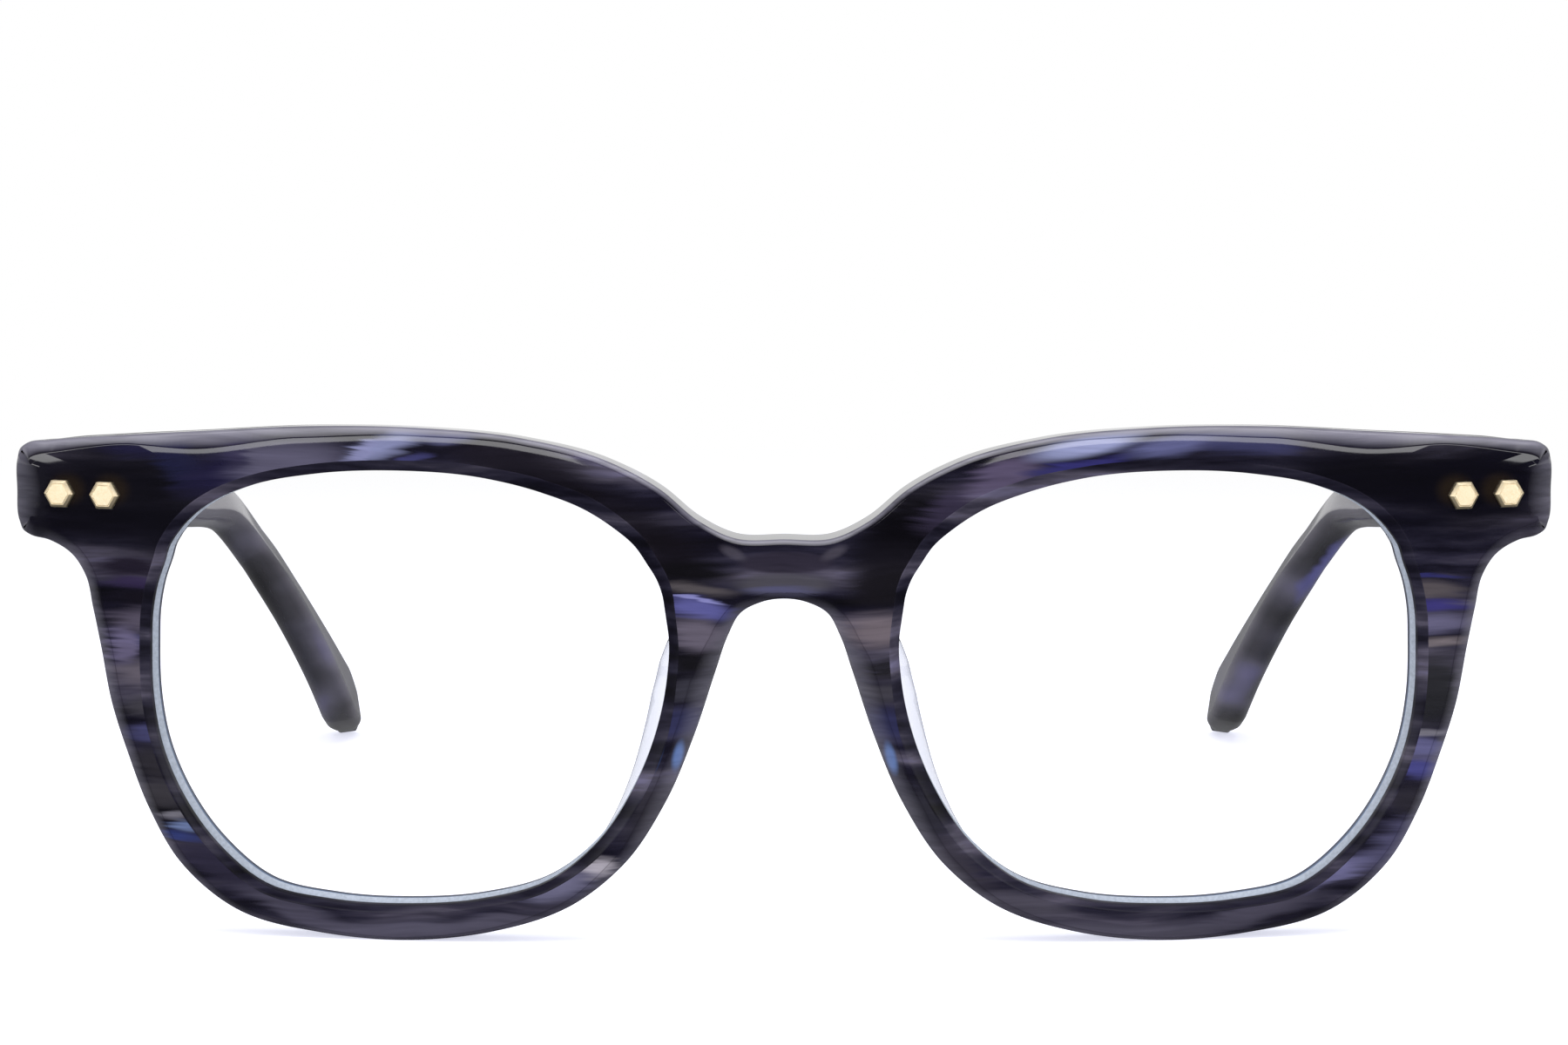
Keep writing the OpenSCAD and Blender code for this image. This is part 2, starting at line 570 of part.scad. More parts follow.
// Knuckles count from the bottom, even ones on the front leaf and odd ones on the temple leaf.
function knuckle_low(k) = hinge_low + k * (knuckle_h + knuckle_gap);
head_h = 0.55;

module knuckle(k) {
    translate([hinge_x, hinge_y, knuckle_low(k)]) cylinder(h = knuckle_h, r = knuckle_r, $fn = round_steps);
}

module pin_bore(d) {
    translate([hinge_x, hinge_y, hinge_low - 1]) cylinder(h = hinge_h + 2, d = d, $fn = round_steps);
}

module hinge_front_leaf(side) {
    root_lap = 0.1;
    color("#b9bcc2") in_place() on_side(side) difference() {
        union() {
            translate([plate_inner, seat_y - plate_t, hinge_low])
                cube([plate_outer - plate_inner, plate_t, plate_h]);
            for (k = [0, 2, 4]) {
                knuckle(k);
                translate([hinge_x - knuckle_r, seat_y - root_lap, knuckle_low(k)])
                    cube([knuckle_r + knuckle_r / 2, hinge_y - seat_y + root_lap, knuckle_h]);
            }
        }
        pin_bore(screw_d + 2 * fit);
        translate([hinge_x, hinge_y, hinge_low + hinge_h - head_h])
            cylinder(h = 1, d = screw_head_d + 2 * fit, $fn = round_steps);
    }
}

leaf_start = seat_y + 0.8;
leaf_l = 8.6;
leaf_h = 5.6;
tang_l = 2.4;
tang_h = 3.2;
wire_start = leaf_start + leaf_l;
// Centre and slope of the temple where the leaf ends.
function temple_at(y, i = 0) = temple_rings[i + 1][0][1] > y ? blend(
        grounded(temple_rings[i][0]), grounded(temple_rings[i + 1][0]),
        (y - temple_rings[i][0][1]) / (temple_rings[i + 1][0][1] - temple_rings[i][0][1])
    ) : temple_at(y, i + 1);
tang_mid = temple_at(wire_start);
leaf_z = temple_at(leaf_start + leaf_l / 2)[2];

module temple_leaf_shape(extra) {
    translate([temple_inner - 1, leaf_start - extra, leaf_z - leaf_h / 2 - extra])
        cube([plate_t + 1 + extra, leaf_l + 2 * extra, leaf_h + 2 * extra]);
    translate([temple_inner, wire_start - tang_l - extra, tang_mid[2] - tang_h / 2 - extra])
        cube([tang_mid[0] + wire_t / 2 + 0.3 - temple_inner + extra, tang_l + 2 * extra, tang_h + 2 * extra]);
}

module hinge_temple_leaf(side) {
    proud = 0.05;
    root = 0.8;
    root_lap = 0.3;
    past_leaf = 200;
    color("#b9bcc2") in_place() on_side(side) difference() {
        union() {
            intersection() {
                temple_leaf_shape(0);
                translate([temple_inner - proud, 0, 0]) cube(past_leaf);
            }
            for (k = [1, 3]) {
                knuckle(k);
                translate([hinge_x, hinge_y - root, knuckle_low(k)])
                    cube([temple_inner + root_lap - hinge_x, knuckle_r + root, knuckle_h]);
            }
        }
        pin_bore(screw_d + 2 * screw_play);
    }
}

module hinge_screw(side) {
    slot_w = 0.35;
    color("#8f9399") in_place() on_side(side) translate([hinge_x, hinge_y, hinge_low]) difference() {
        union() {
            cylinder(h = hinge_h - head_h, d = screw_d, $fn = round_steps);
            translate([0, 0, hinge_h - head_h]) cylinder(h = head_h, d = screw_head_d, $fn = round_steps);
        }
        translate([-2, -slot_w / 2, hinge_h - 0.25]) cube([4, slot_w, 1]);
    }
}

// Temples

module temple_solid() {
    polyhedron(
        points = [for (p = raw_temple) grounded(p)],
        faces = tube_faces(len(temple_rings), ring_sides),
        convexity = 6
    );
}

// The core wire follows the middle of the temple and stops short of the rounded tip.
wire_stop = 3;
wire_rings = [
    for (i = [0:len(body_rings) - wire_stop]) if (body_rings[i][0][1] > wire_start + 1) body_rings[i]
];

module wire_solid(extra, from) {
    corners = [[1, 1], [-1, 1], [-1, -1], [1, -1]];
    first = [for (c = corners)
        [tang_mid[0], from, tang_mid[2]] + [c[0] * (wire_t / 2 + extra), 0, c[1] * (wire_h / 2 + extra)]];
    rest = [for (r = wire_rings) for (c = corners)
        grounded(r[0]) + r[1] * c[0] * (wire_t / 2 + extra) + r[2] * c[1] * (wire_h / 2 + extra)];
    polyhedron(points = concat(first, rest), faces = tube_faces(len(wire_rings) + 1, 4), convexity = 6);
}

module temple(side) {
    color("#2b2a3a") in_place() on_side(side) difference() {
        temple_solid();
        temple_leaf_shape(fit);
        wire_solid(fit, wire_start - 0.5);
    }
}

module core_wire(side) {
    color("#a8abb0") in_place() on_side(side) wire_solid(0, wire_start);
}

in_place() front_frame();
in_place() lens(left);  // lens_left
in_place() lens(right);  // lens_right
in_place() nose_pad(left);  // nose_pad_left
in_place() nose_pad(right);  // nose_pad_right
in_place() stud(left, "outer");  // stud_left_outer
in_place() stud(left, "inner");  // stud_left_inner
in_place() stud(right, "outer");  // stud_right_outer
in_place() stud(right, "inner");  // stud_right_inner
hinge_front_leaf(left);  // hinge_front_leaf_left
hinge_front_leaf(right);  // hinge_front_leaf_right
hinge_temple_leaf(left);  // hinge_temple_leaf_left
hinge_temple_leaf(right);  // hinge_temple_leaf_right
hinge_screw(left);  // hinge_screw_left
hinge_screw(right);  // hinge_screw_right
temple(left);  // temple_left
temple(right);  // temple_right
core_wire(left);  // core_wire_left
core_wire(right);  // core_wire_right
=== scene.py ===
"""Rectangular acetate eyeglasses, dressed for a plain studio picture.

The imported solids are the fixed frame. Each sub-assembly below makes the smooth meshes that
stand for the faceted solids, gives every piece its finish, and fastens it to its body.
"""

import logging
import math
from dataclasses import dataclass, field, replace
from enum import Enum

import bmesh
import bpy
import numpy as np
from mathutils import Matrix, Vector


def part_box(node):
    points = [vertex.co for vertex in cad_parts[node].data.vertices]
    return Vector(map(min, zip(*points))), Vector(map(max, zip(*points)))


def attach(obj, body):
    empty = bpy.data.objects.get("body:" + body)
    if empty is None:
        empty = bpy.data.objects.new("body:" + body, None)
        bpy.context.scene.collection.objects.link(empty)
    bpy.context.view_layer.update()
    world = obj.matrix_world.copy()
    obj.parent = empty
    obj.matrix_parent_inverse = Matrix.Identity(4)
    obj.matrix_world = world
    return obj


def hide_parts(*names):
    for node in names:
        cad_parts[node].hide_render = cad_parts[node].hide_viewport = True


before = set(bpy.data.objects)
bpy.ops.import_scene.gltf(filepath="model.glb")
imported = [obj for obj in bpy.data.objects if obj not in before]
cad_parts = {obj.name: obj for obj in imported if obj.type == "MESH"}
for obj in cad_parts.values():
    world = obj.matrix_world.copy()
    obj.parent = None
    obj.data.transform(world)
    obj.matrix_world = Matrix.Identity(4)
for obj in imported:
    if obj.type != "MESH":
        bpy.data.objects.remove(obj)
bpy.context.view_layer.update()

MM = 0.001
LOG = logging.getLogger("eyeglasses")
Tree, Node, Socket, Piece = bpy.types.NodeTree, bpy.types.Node, bpy.types.NodeSocket, bpy.types.Object
# From the source, in mm: how high the hinges' axes stand, and how far the bridge's face is in front
# of the middle of the row frame.
HINGE_Z = 41.8103
APEX_Y = 70.1124


class Side(Enum):
    """Which half of the glasses, as the wearer names it, with the sign of its X."""

    LEFT = 1
    RIGHT = -1

    @property
    def word(self) -> str:
        """Return the side's name as the CAD nodes spell it."""
        return self.name.lower()


class Body(Enum):
    """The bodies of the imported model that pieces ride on."""

    FRONT = "front"
    TEMPLE_LEFT = "temple_left"
    TEMPLE_RIGHT = "temple_right"

    @classmethod
    def temple(cls, side: Side) -> "Body":
        """Return the body of the temple on a side."""
        return cls.TEMPLE_LEFT if side is Side.LEFT else cls.TEMPLE_RIGHT


# Colour


def linear(code: str) -> tuple[float, float, float, float]:
    """Turn an sRGB hex code into the linear colour that Blender's sockets take.

    Args:
        code: A colour such as "#5a5668".

    Returns:
        Red, green, blue and an alpha of 1.
    """
    parts = [int(code[i : i + 2], 16) / 255 for i in (1, 3, 5)]
    values = [p / 12.92 if p <= 0.04045 else ((p + 0.055) / 1.055) ** 2.4 for p in parts]
    return (*values, 1.0)


def put(tree: Tree, kind: str, inputs: dict | None = None, **settings: object) -> Node:
    """Add one node to a tree, with its settings, values and links.

    Args:
        tree: The node tree to add to.
        kind: The node's type name.
        inputs: Values or output sockets, by input name or number.
        settings: The node's own attributes.

    Returns:
        The new node.
    """
    node = tree.nodes.new(kind)
    for name, value in settings.items():
        setattr(node, name, value)
    for key, value in (inputs or {}).items():
        if isinstance(value, Socket):
            tree.links.new(value, node.inputs[key])
        else:
            node.inputs[key].default_value = value
    return node


# Finishes


@dataclass(frozen=True)
class Finish:
    """A surface finish, made as one Principled material whose constants sit on its own sockets."""

    name: str
    colour: str
    metallic: float = 0.0
    roughness: float = 0.3

    def sockets(self) -> dict[str, float]:
        """Return the constants of the shader's own sockets."""
        return {"Metallic": self.metallic, "Roughness": self.roughness}

    def paint(self, tree: Tree, shader: Node) -> None:
        """Add the pattern of the finish to a tree whose shader is ready.

        Args:
            tree: The material's node tree.
            shader: Its Principled node.
        """

    def surface(self, tree: Tree, shader: Node) -> Socket:
        """Return the closure that goes to the output."""
        return shader.outputs[0]

    def material(self) -> bpy.types.Material:
        """Make the material, or find it once it is made.

        Returns:
            The material that every piece of this finish shares.
        """
        found = bpy.data.materials.get(self.name)
        if found:
            return found
        made = bpy.data.materials.new(self.name)
        made.use_nodes = True
        tree = made.node_tree
        tree.nodes.clear()
        constants = {"Base Color": linear(self.colour), **self.sockets()}
        shader = put(tree, "ShaderNodeBsdfPrincipled", constants)
        self.paint(tree, shader)
        put(tree, "ShaderNodeOutputMaterial", {"Surface": self.surface(tree, shader)})
        return made

    def dress(self, piece: Piece, *others: "Finish") -> None:
        """Give a piece this finish, with others after it, in place of any it has."""
        piece.data.materials.clear()
        for finish in (self, *others):
            piece.data.materials.append(finish.material())


@dataclass(frozen=True)
class Streak:
    """One drawn-out cloud of pigment in the acetate sheet, seen from the front; a few are painted highlights and
    painted reflections instead.

    The sheet is poured in streaks, so each is long along X and thin along Z, in mm.
    """

    across: float
    up: float
    length: float
    height: float
    colour: str
    strength: float = 1.0
    tilt: float = 0.0
    # Share of its size over which its edge fades.
    fade: float = 0.8


@dataclass(frozen=True)
class Layer:
    """A tone laid at chosen points of a piece, which the mesh marks by a named weight; most layers are painted light
    or painted shade.
    """

    mark: str
    colour: str
    strength: float = 1.0


@dataclass(frozen=True)
class MarbledAcetate(Finish):
    """Cellulose acetate sheet, milled and barrel polished: wet gloss over drawn-out, cloudy pigment."""

    colour: str = "#2a283a"
    roughness: float = 0.06
    specular: float = 0.5
    streaks: tuple[Streak, ...] = ()
    layers: tuple[Layer, ...] = ()
    shift: tuple[float, float, float] = (0.0, 0.0, 0.0)
    # Length, depth and height of one streak of pigment in the sheet, in mm.
    grain: tuple[float, float, float] = (26.0, 9.0, 2.6)
    # The same of one fine line of the pour.
    line: tuple[float, float, float] = (8.0, 3.0, 0.45)
    # How many times the noise of the streaks is halved and laid over itself.
    detail: float = 4.0
    # Placed streaks with a sharper edge than this lie still, and the others fray with the pour.
    still: float = 0.75
    ramp: tuple[tuple[float, str], ...] = (
        (0.30, "#08070d"),
        (0.42, "#12101d"),
        (0.50, "#22202f"),
        (0.57, "#34313f"),
        (0.64, "#4b4756"),
        (0.72, "#625e78"),
        (0.82, "#7c7a9c"),
    )

    def sockets(self) -> dict[str, float]:
        """Return the constants: acetate's refractive index and a polished skin."""
        return {"Roughness": self.roughness, "IOR": 1.48, "Specular IOR Level": self.specular}

    def paint(self, tree: Tree, shader: Node) -> None:
        """Draw the pigment, wandering streaks, fine brush lines and placed clouds, some of them painted highlights
        and reflections, and the marked layers, mostly painted light and shade.

        Args:
            tree: The material's node tree.
            shader: Its Principled node.
        """
        where = put(tree, "ShaderNodeTexCoord").outputs["Object"]
        # The pour wanders by about 2 mm over 12 mm, which bends the streaks.
        bend = put(tree, "ShaderNodeTexNoise", {"Vector": where, "Scale": 1 / (12 * MM), "Detail": 1.0})
        bent = self.pushed(tree, where, bend, (6 * MM, 3 * MM, 2.2 * MM))
        broad, thin = (tuple(1 / (size * MM) for size in sizes) for sizes in (self.grain, self.line))
        drawn = put(tree, "ShaderNodeMapping", {"Vector": bent, "Scale": broad, "Location": self.shift})
        inputs = {"Vector": drawn.outputs[0], "Scale": 1.0, "Detail": self.detail, "Roughness": 0.55}
        cloud = put(tree, "ShaderNodeTexNoise", inputs)
        ramp = put(tree, "ShaderNodeValToRGB", {"Fac": cloud.outputs["Fac"]})
        self.fill(ramp.color_ramp)
        colour = ramp.outputs["Color"]
        # Fine lines of the pour, under half a millimetre apart, which also fray the ends of the clouds.
        fine = put(tree, "ShaderNodeMapping", {"Vector": bent, "Scale": thin})
        lines = put(tree, "ShaderNodeTexNoise", {"Vector": fine.outputs[0], "Scale": 1.0, "Detail": 2.0})
        frayed = self.pushed(tree, bent, lines, (4 * MM, 0.0, 0.8 * MM))
        for streak in self.streaks:
            colour = self.laid(tree, frayed if streak.fade > self.still else where, colour, streak)
        span = {"From Min": 0.25, "From Max": 0.75, "To Min": 0.68, "To Max": 0.95}
        level = put(tree, "ShaderNodeMapRange", {"Value": lines.outputs["Fac"], **span})
        lined = put(tree, "ShaderNodeVectorMath", {0: colour, "Scale": level.outputs[0]}, operation="SCALE")
        colour = lined.outputs[0]
        for layer in self.layers:
            colour = self.layered(tree, colour, layer, lines.outputs["Fac"])
        tree.links.new(colour, shader.inputs["Base Color"])

    @staticmethod
    def pushed(tree: Tree, where: Socket, noise: Node, by: tuple[float, float, float]) -> Socket:
        """Push a place to and fro by the colour of a noise.

        Args:
            tree: The material's node tree.
            where: The place in the sheet.
            noise: The noise node.
            by: The whole push along each axis, in metres.

        Returns:
            The pushed place.
        """
        half = {0: noise.outputs["Color"], 1: (0.5, 0.5, 0.5)}
        centred = put(tree, "ShaderNodeVectorMath", half, operation="SUBTRACT")
        swing = put(tree, "ShaderNodeVectorMath", {0: centred.outputs[0], 1: by}, operation="MULTIPLY")
        return put(tree, "ShaderNodeVectorMath", {0: where, 1: swing.outputs[0]}, operation="ADD").outputs[0]

    @staticmethod
    def layered(tree: Tree, under: Socket, layer: Layer, pour_lines: Socket) -> Socket:
        """Lay a layer's tone where the mesh marks it, uneven by the lines of the pour.

        Args:
            tree: The material's node tree.
            under: The colour so far.
            layer: What to lay.
            pour_lines: The noise of the lines.

        Returns:
            The colour with the layer in it.
        """
        mark = put(tree, "ShaderNodeAttribute", attribute_name=layer.mark).outputs["Fac"]
        span = {"From Min": 0.2, "From Max": 0.6, "To Min": 0.6, "To Max": 1.0}
        uneven = put(tree, "ShaderNodeMapRange", {"Value": pour_lines, **span})
        share = put(tree, "ShaderNodeMath", {0: mark, 1: uneven.outputs[0]}, operation="MULTIPLY")
        weight = put(tree, "ShaderNodeMath", {0: share.outputs[0], 1: layer.strength}, operation="MULTIPLY")
        tones = {0: weight.outputs[0], 6: under, 7: linear(layer.colour)}
        return put(tree, "ShaderNodeMix", tones, data_type="RGBA").outputs[2]

    def fill(self, ramp: bpy.types.ColorRamp) -> None:
        """Set the stops of a colour ramp to this acetate's pigments.

        Args:
            ramp: A new ramp, which has two stops.
        """
        for i, (place, code) in enumerate(self.ramp):
            stop = ramp.elements[i] if i < 2 else ramp.elements.new(place)
            stop.position = place
            stop.color = linear(code)

    @staticmethod
    def laid(tree: Tree, where: Socket, under: Socket, streak: Streak) -> Socket:
        """Lay one placed streak over the colour so far.

        Args:
            tree: The material's node tree.
            where: The place in the sheet.
            under: The colour under the streak.
            streak: What to lay.

        Returns:
            The colour with the streak in it.
        """
        place = {
            "Vector": where,
            "Location": (streak.across * MM, 0.0, streak.up * MM),
            "Rotation": (0.0, math.radians(-streak.tilt), 0.0),
            "Scale": (streak.length * MM, 1.0, streak.height * MM),
        }
        local = put(tree, "ShaderNodeMapping", place, vector_type="TEXTURE")
        reach = put(tree, "ShaderNodeVectorMath", {0: local.outputs[0]}, operation="LENGTH")
        # The edge fades from a little outside the streak's outline to well inside it.
        edge = {
            "Value": reach.outputs["Value"],
            "From Min": 1 + 0.2 * streak.fade,
            "From Max": 1 - 0.85 * streak.fade,
            "To Min": 0.0,
            "To Max": streak.strength,
        }
        mask = put(tree, "ShaderNodeMapRange", edge, interpolation_type="SMOOTHSTEP")
        tones = {0: mask.outputs[0], 6: under, 7: linear(streak.colour)}
        return put(tree, "ShaderNodeMix", tones, data_type="RGBA").outputs[2]


@dataclass(frozen=True)
class ClearFinish(Finish):
    """Something the light goes through, with shadows that let most of it pass."""

    ior: float = 1.5
    shade: float = 0.06

    def sockets(self) -> dict[str, float]:
        """Return the constants of a clear, polished body."""
        return {"Roughness": self.roughness, "IOR": self.ior, "Transmission Weight": 1.0}

    def surface(self, tree: Tree, shader: Node) -> Socket:
        """Let lamps through by a Light Path switch, because clear pieces cast hardly any shadow.

        Args:
            tree: The material's node tree.
            shader: Its Principled node.

        Returns:
            The closure that goes to the output.
        """
        shadow = put(tree, "ShaderNodeLightPath").outputs["Is Shadow Ray"]
        pale = 1 - self.shade
        open_air = put(tree, "ShaderNodeBsdfTransparent", {"Color": (pale, pale, pale, 1.0)})
        closures = {0: shadow, 1: shader.outputs[0], 2: open_air.outputs[0]}
        return put(tree, "ShaderNodeMixShader", closures).outputs[0]


@dataclass(frozen=True)
class CoatedLens(ClearFinish):
    """Demo lens of clear acrylic with an anti-reflection coat: almost nothing of it shows."""

    colour: str = "#20262b"
    roughness: float = 0.02
    ior: float = 1.49
    shade: float = 0.01

    def sockets(self) -> dict[str, float]:
        """Return the constants of a thin shell, which bends no light because its faces are parallel."""
        return {"Roughness": self.roughness, "IOR": self.ior}

    def paint(self, tree: Tree, shader: Node) -> None:
        """Let light through head on and keep a sheen at a glancing look, which is what the coat leaves.

        Args:
            tree: The material's node tree.
            shader: Its Principled node.
        """
        facing = put(tree, "ShaderNodeLayerWeight", {"Blend": 0.5}).outputs["Facing"]
        span = {"From Min": 0.6, "From Max": 1.0, "To Min": 0.012, "To Max": 0.5}
        sheen = put(tree, "ShaderNodeMapRange", {"Value": facing, **span})
        tree.links.new(sheen.outputs[0], shader.inputs["Alpha"])


@dataclass(frozen=True)
class CrystalAcetate(ClearFinish):
    """Crystal-clear acetate, glued and hand polished, for the nose pads: clear, with soft grey painted shade at the
    edges.
    """

    colour: str = "#fbfcff"
    # The grey of the painted shade at the edges.
    edge: str = "#5f6470"
    roughness: float = 0.03
    ior: float = 1.46
    shade: float = 0.1

    def paint(self, tree: Tree, shader: Node) -> None:
        """Paint the edges grey as painted shade, where the eye looks along the clear body.

        Args:
            tree: The material's node tree.
            shader: Its Principled node.
        """
        facing = put(tree, "ShaderNodeLayerWeight", {"Blend": 0.62}).outputs["Facing"]
        tones = {0: facing, 6: linear(self.colour), 7: linear(self.edge)}
        tone = put(tree, "ShaderNodeMix", tones, data_type="RGBA")
        tree.links.new(tone.outputs[2], shader.inputs["Base Color"])


@dataclass(frozen=True)
class WorkedFinish(Finish):
    """A surface that a tool has worked, whose fine marks vary the tone and the polish."""

    # The tone that the marks mix in.
    second: str = "#ffffff"
    # Length, thickness and height of one mark of the tool, in mm.
    mark: tuple[float, float, float] = (0.3, 0.3, 0.3)
    detail: float = 2.0
    # The shares of the roughness between which the polish varies, if it does.
    polish: tuple[float, ...] = ()
    # How strongly the marks stand up, and how high, in mm.
    raised: float = 0.0
    height: float = 0.02

    def paint(self, tree: Tree, shader: Node) -> None:
        """Draw the tool's marks in the tone, the polish and the height.

        Args:
            tree: The material's node tree.
            shader: Its Principled node.
        """
        where = put(tree, "ShaderNodeTexCoord").outputs["Object"]
        scale = tuple(1 / (size * MM) for size in self.mark)
        drawn = put(tree, "ShaderNodeMapping", {"Vector": where, "Scale": scale})
        inputs = {"Vector": drawn.outputs[0], "Scale": 1.0, "Detail": self.detail}
        marks = put(tree, "ShaderNodeTexNoise", inputs).outputs["Fac"]
        tones = {0: marks, 6: linear(self.colour), 7: linear(self.second)}
        tone = put(tree, "ShaderNodeMix", tones, data_type="RGBA")
        tree.links.new(tone.outputs[2], shader.inputs["Base Color"])
        if self.polish:
            low, high = (self.roughness * share for share in self.polish)
            polish = put(tree, "ShaderNodeMapRange", {"Value": marks, "To Min": low, "To Max": high})
            tree.links.new(polish.outputs[0], shader.inputs["Roughness"])
        if self.raised:
            inputs = {"Height": marks, "Strength": self.raised, "Distance": self.height * MM}
            tree.links.new(put(tree, "ShaderNodeBump", inputs).outputs[0], shader.inputs["Normal"])


@dataclass(frozen=True)
class GroundEdge(WorkedFinish):
    """Acrylic ground to a V by a wheel: matt grey, paler where the light in the lens leaves it."""

    colour: str = "#8b929f"
    second: str = "#b9c2d0"
    roughness: float = 0.55


@dataclass(frozen=True)
class PlatedBrass(WorkedFinish):
    """Champagne-gold plating on turned and milled brass: bright, warm and slightly satin."""

    colour: str = "#fff3da"
    second: str = "#f8e3b8"
    metallic: float = 1.0
    roughness: float = 0.52
    mark: tuple[float, float, float] = (0.15, 0.15, 0.15)
    polish: tuple[float, ...] = (0.6, 1.4)


@dataclass(frozen=True)
class BrushedSteel(WorkedFinish):
    """Nickel-silver hinge stock, milled and tumbled: grey with a soft lengthwise grain."""

    colour: str = "#b9bcc2"
    second: str = "#8d9097"
    metallic: float = 1.0
    roughness: float = 0.28
    mark: tuple[float, float, float] = (0.08, 2.0, 0.08)
    detail: float = 3.0
    polish: tuple[float, ...] = (0.7, 1.5)
    raised: float = 0.12


# Meshes


def stand(name: str, work: bmesh.types.BMesh, mesh: bpy.types.Mesh | None = None) -> Piece:
    """Stand a finished work mesh in the scene as an object.

    Args:
        name: The object's name.
        work: The work mesh, which is freed.
        mesh: The mesh that it came from, if any.

    Returns:
        The new object.
    """
    mesh = mesh or bpy.data.meshes.new(name)
    work.to_mesh(mesh)
    work.free()
    made = bpy.data.objects.new(name, mesh)
    bpy.context.scene.collection.objects.link(made)
    return made


def new_mesh(
    name: str, points: np.ndarray, faces: list[tuple[int, ...]], marks: dict[str, np.ndarray] | None = None
) -> Piece:
    """Make a mesh object at the origin from points in mm.

    Args:
        name: The piece's name.
        points: Rows of X, Y and Z in mm, in the row frame.
        faces: Point numbers of each face.
        marks: Weights of the points, by name, that a finish reads.

    Returns:
        The new object, with doubles merged and its normals outside.
    """
    mesh = bpy.data.meshes.new(name)
    mesh.from_pydata((np.asarray(points) * MM).tolist(), [], faces)
    for mark, weights in (marks or {}).items():
        mesh.attributes.new(mark, "FLOAT", "POINT").data.foreach_set("value", weights.astype(np.float32))
    work = bmesh.new()
    work.from_mesh(mesh)
    bmesh.ops.remove_doubles(work, verts=work.verts, dist=0.0005 * MM)
    bmesh.ops.recalc_face_normals(work, faces=work.faces)
    return stand(name, work, mesh)


def skin(rings: int, sides: int, capped: bool = False) -> list[tuple[int, ...]]:
    """Return the faces between rings of points, each ring numbered after the one before.

    Args:
        rings: How many rings there are.
        sides: How many points each ring has.
        capped: Whether the first and last rings are closed.

    Returns:
        Point numbers of each face.
    """
    last = (rings - 1) * sides
    faces = [tuple(range(sides)), tuple(range(last, last + sides))] if capped else []
    for i in range(rings - 1):
        for j in range(sides):
            a, b = i * sides + j, i * sides + (j + 1) % sides
            faces.append((a, b, b + sides, a + sides))
    return faces


def block(work: bmesh.types.BMesh, centre: Vector, size: Vector) -> None:
    """Add a rectangular block, which cuts a pocket, to a work mesh."""
    bmesh.ops.create_cube(work, size=1.0, matrix=Matrix.Translation(centre) @ Matrix.Diagonal((*size, 1.0)))


def in_mm(corners: tuple[Vector, Vector]) -> tuple[np.ndarray, np.ndarray]:
    """Return the two corners of a box in mm."""
    return np.array(corners[0]) / MM, np.array(corners[1]) / MM


def smooth(piece: Piece, angle: float) -> None:
    """Shade a piece smooth, with edges sharper than the angle kept, and flat areas kept flat.

    Args:
        piece: The piece to shade.
        angle: The sharpest angle that is still shaded round, in degrees.
    """
    mesh = piece.data
    mesh.shade_smooth()
    mesh.set_sharp_from_angle(angle=math.radians(angle))
    weighted = piece.modifiers.new("flat areas stay flat", "WEIGHTED_NORMAL")
    weighted.keep_sharp = True
    # How much more a large face counts than a small one, out of 100, of which 50 is not at all.
    weighted.weight = 80


def settle(piece: Piece) -> None:
    """Apply a piece's modifiers to its mesh.

    Args:
        piece: The piece, which gets a new mesh.
    """
    evaluated = piece.evaluated_get(bpy.context.evaluated_depsgraph_get())
    mesh = bpy.data.meshes.new_from_object(evaluated)
    piece.modifiers.clear()
    piece.data = mesh


def carve(piece: Piece, cutter: Piece) -> None:
    """Cut a closed cutter out of a piece, and delete the cutter.

    Args:
        piece: What is cut.
        cutter: The closed mesh to take away.
    """
    cut = piece.modifiers.new("cut", "BOOLEAN")
    cut.operation = "DIFFERENCE"
    cut.solver = "MANIFOLD"
    cut.object = cutter
    settle(piece)
    bpy.data.objects.remove(cutter)


def norm(vector: np.ndarray) -> float:
    """Return the length of a vector."""
    return float(np.linalg.norm(vector))


def slope(before: np.ndarray, knot: np.ndarray, after: np.ndarray) -> np.ndarray:
    """Return the slope of a smooth curve at a knot, from the knots on each side."""
    back, ahead = norm(knot - before), norm(after - knot)
    return ((knot - before) * ahead / back + (after - knot) * back / ahead) / (back + ahead)


@dataclass(frozen=True)
class Span:
    """A piece of smooth curve between two knots with given slopes."""

    start: np.ndarray
    end: np.ndarray
    start_slope: np.ndarray
    end_slope: np.ndarray

    def point(self, f: float) -> np.ndarray:
        """Return a point of the curve.

        Args:
            f: Its share of the span.

        Returns:
            The point.
        """
        length, ff, fff = norm(self.end - self.start), f * f, f * f * f
        ease = self.start * (2 * fff - 3 * ff + 1) + self.end * (3 * ff - 2 * fff)
        return ease + self.start_slope * length * (fff - 2 * ff + f) + self.end_slope * length * (fff - ff)

    def heading(self, f: float) -> np.ndarray:
        """Return the direction of the curve.

        Args:
            f: The share of the span.

        Returns:
            The direction, of length 1.
        """
        length, ff = norm(self.end - self.start), f * f
        d = (self.start - self.end) * (6 * ff - 6 * f)
        d = d + self.start_slope * length * (3 * ff - 4 * f + 1) + self.end_slope * length * (3 * ff - 2 * f)
        return d / norm(d)


def mix(a: float | np.ndarray, b: float | np.ndarray, f: float) -> float | np.ndarray:
    """Return the blend of two values by a share."""
    return a + (b - a) * f


@dataclass(frozen=True)
class Station:
    """One chosen place round a lens opening, with the sizes of the rim's section there."""

    lens: np.ndarray
    rim: np.ndarray
    steps: int
    facet: float
    depth: float
    extra: float
    bevel: float

    def sizes(self) -> np.ndarray:
        """Return facet width, edge depth, extra thickness and the lens bevel's share."""
        return np.array([self.facet, self.depth, self.extra, self.bevel])


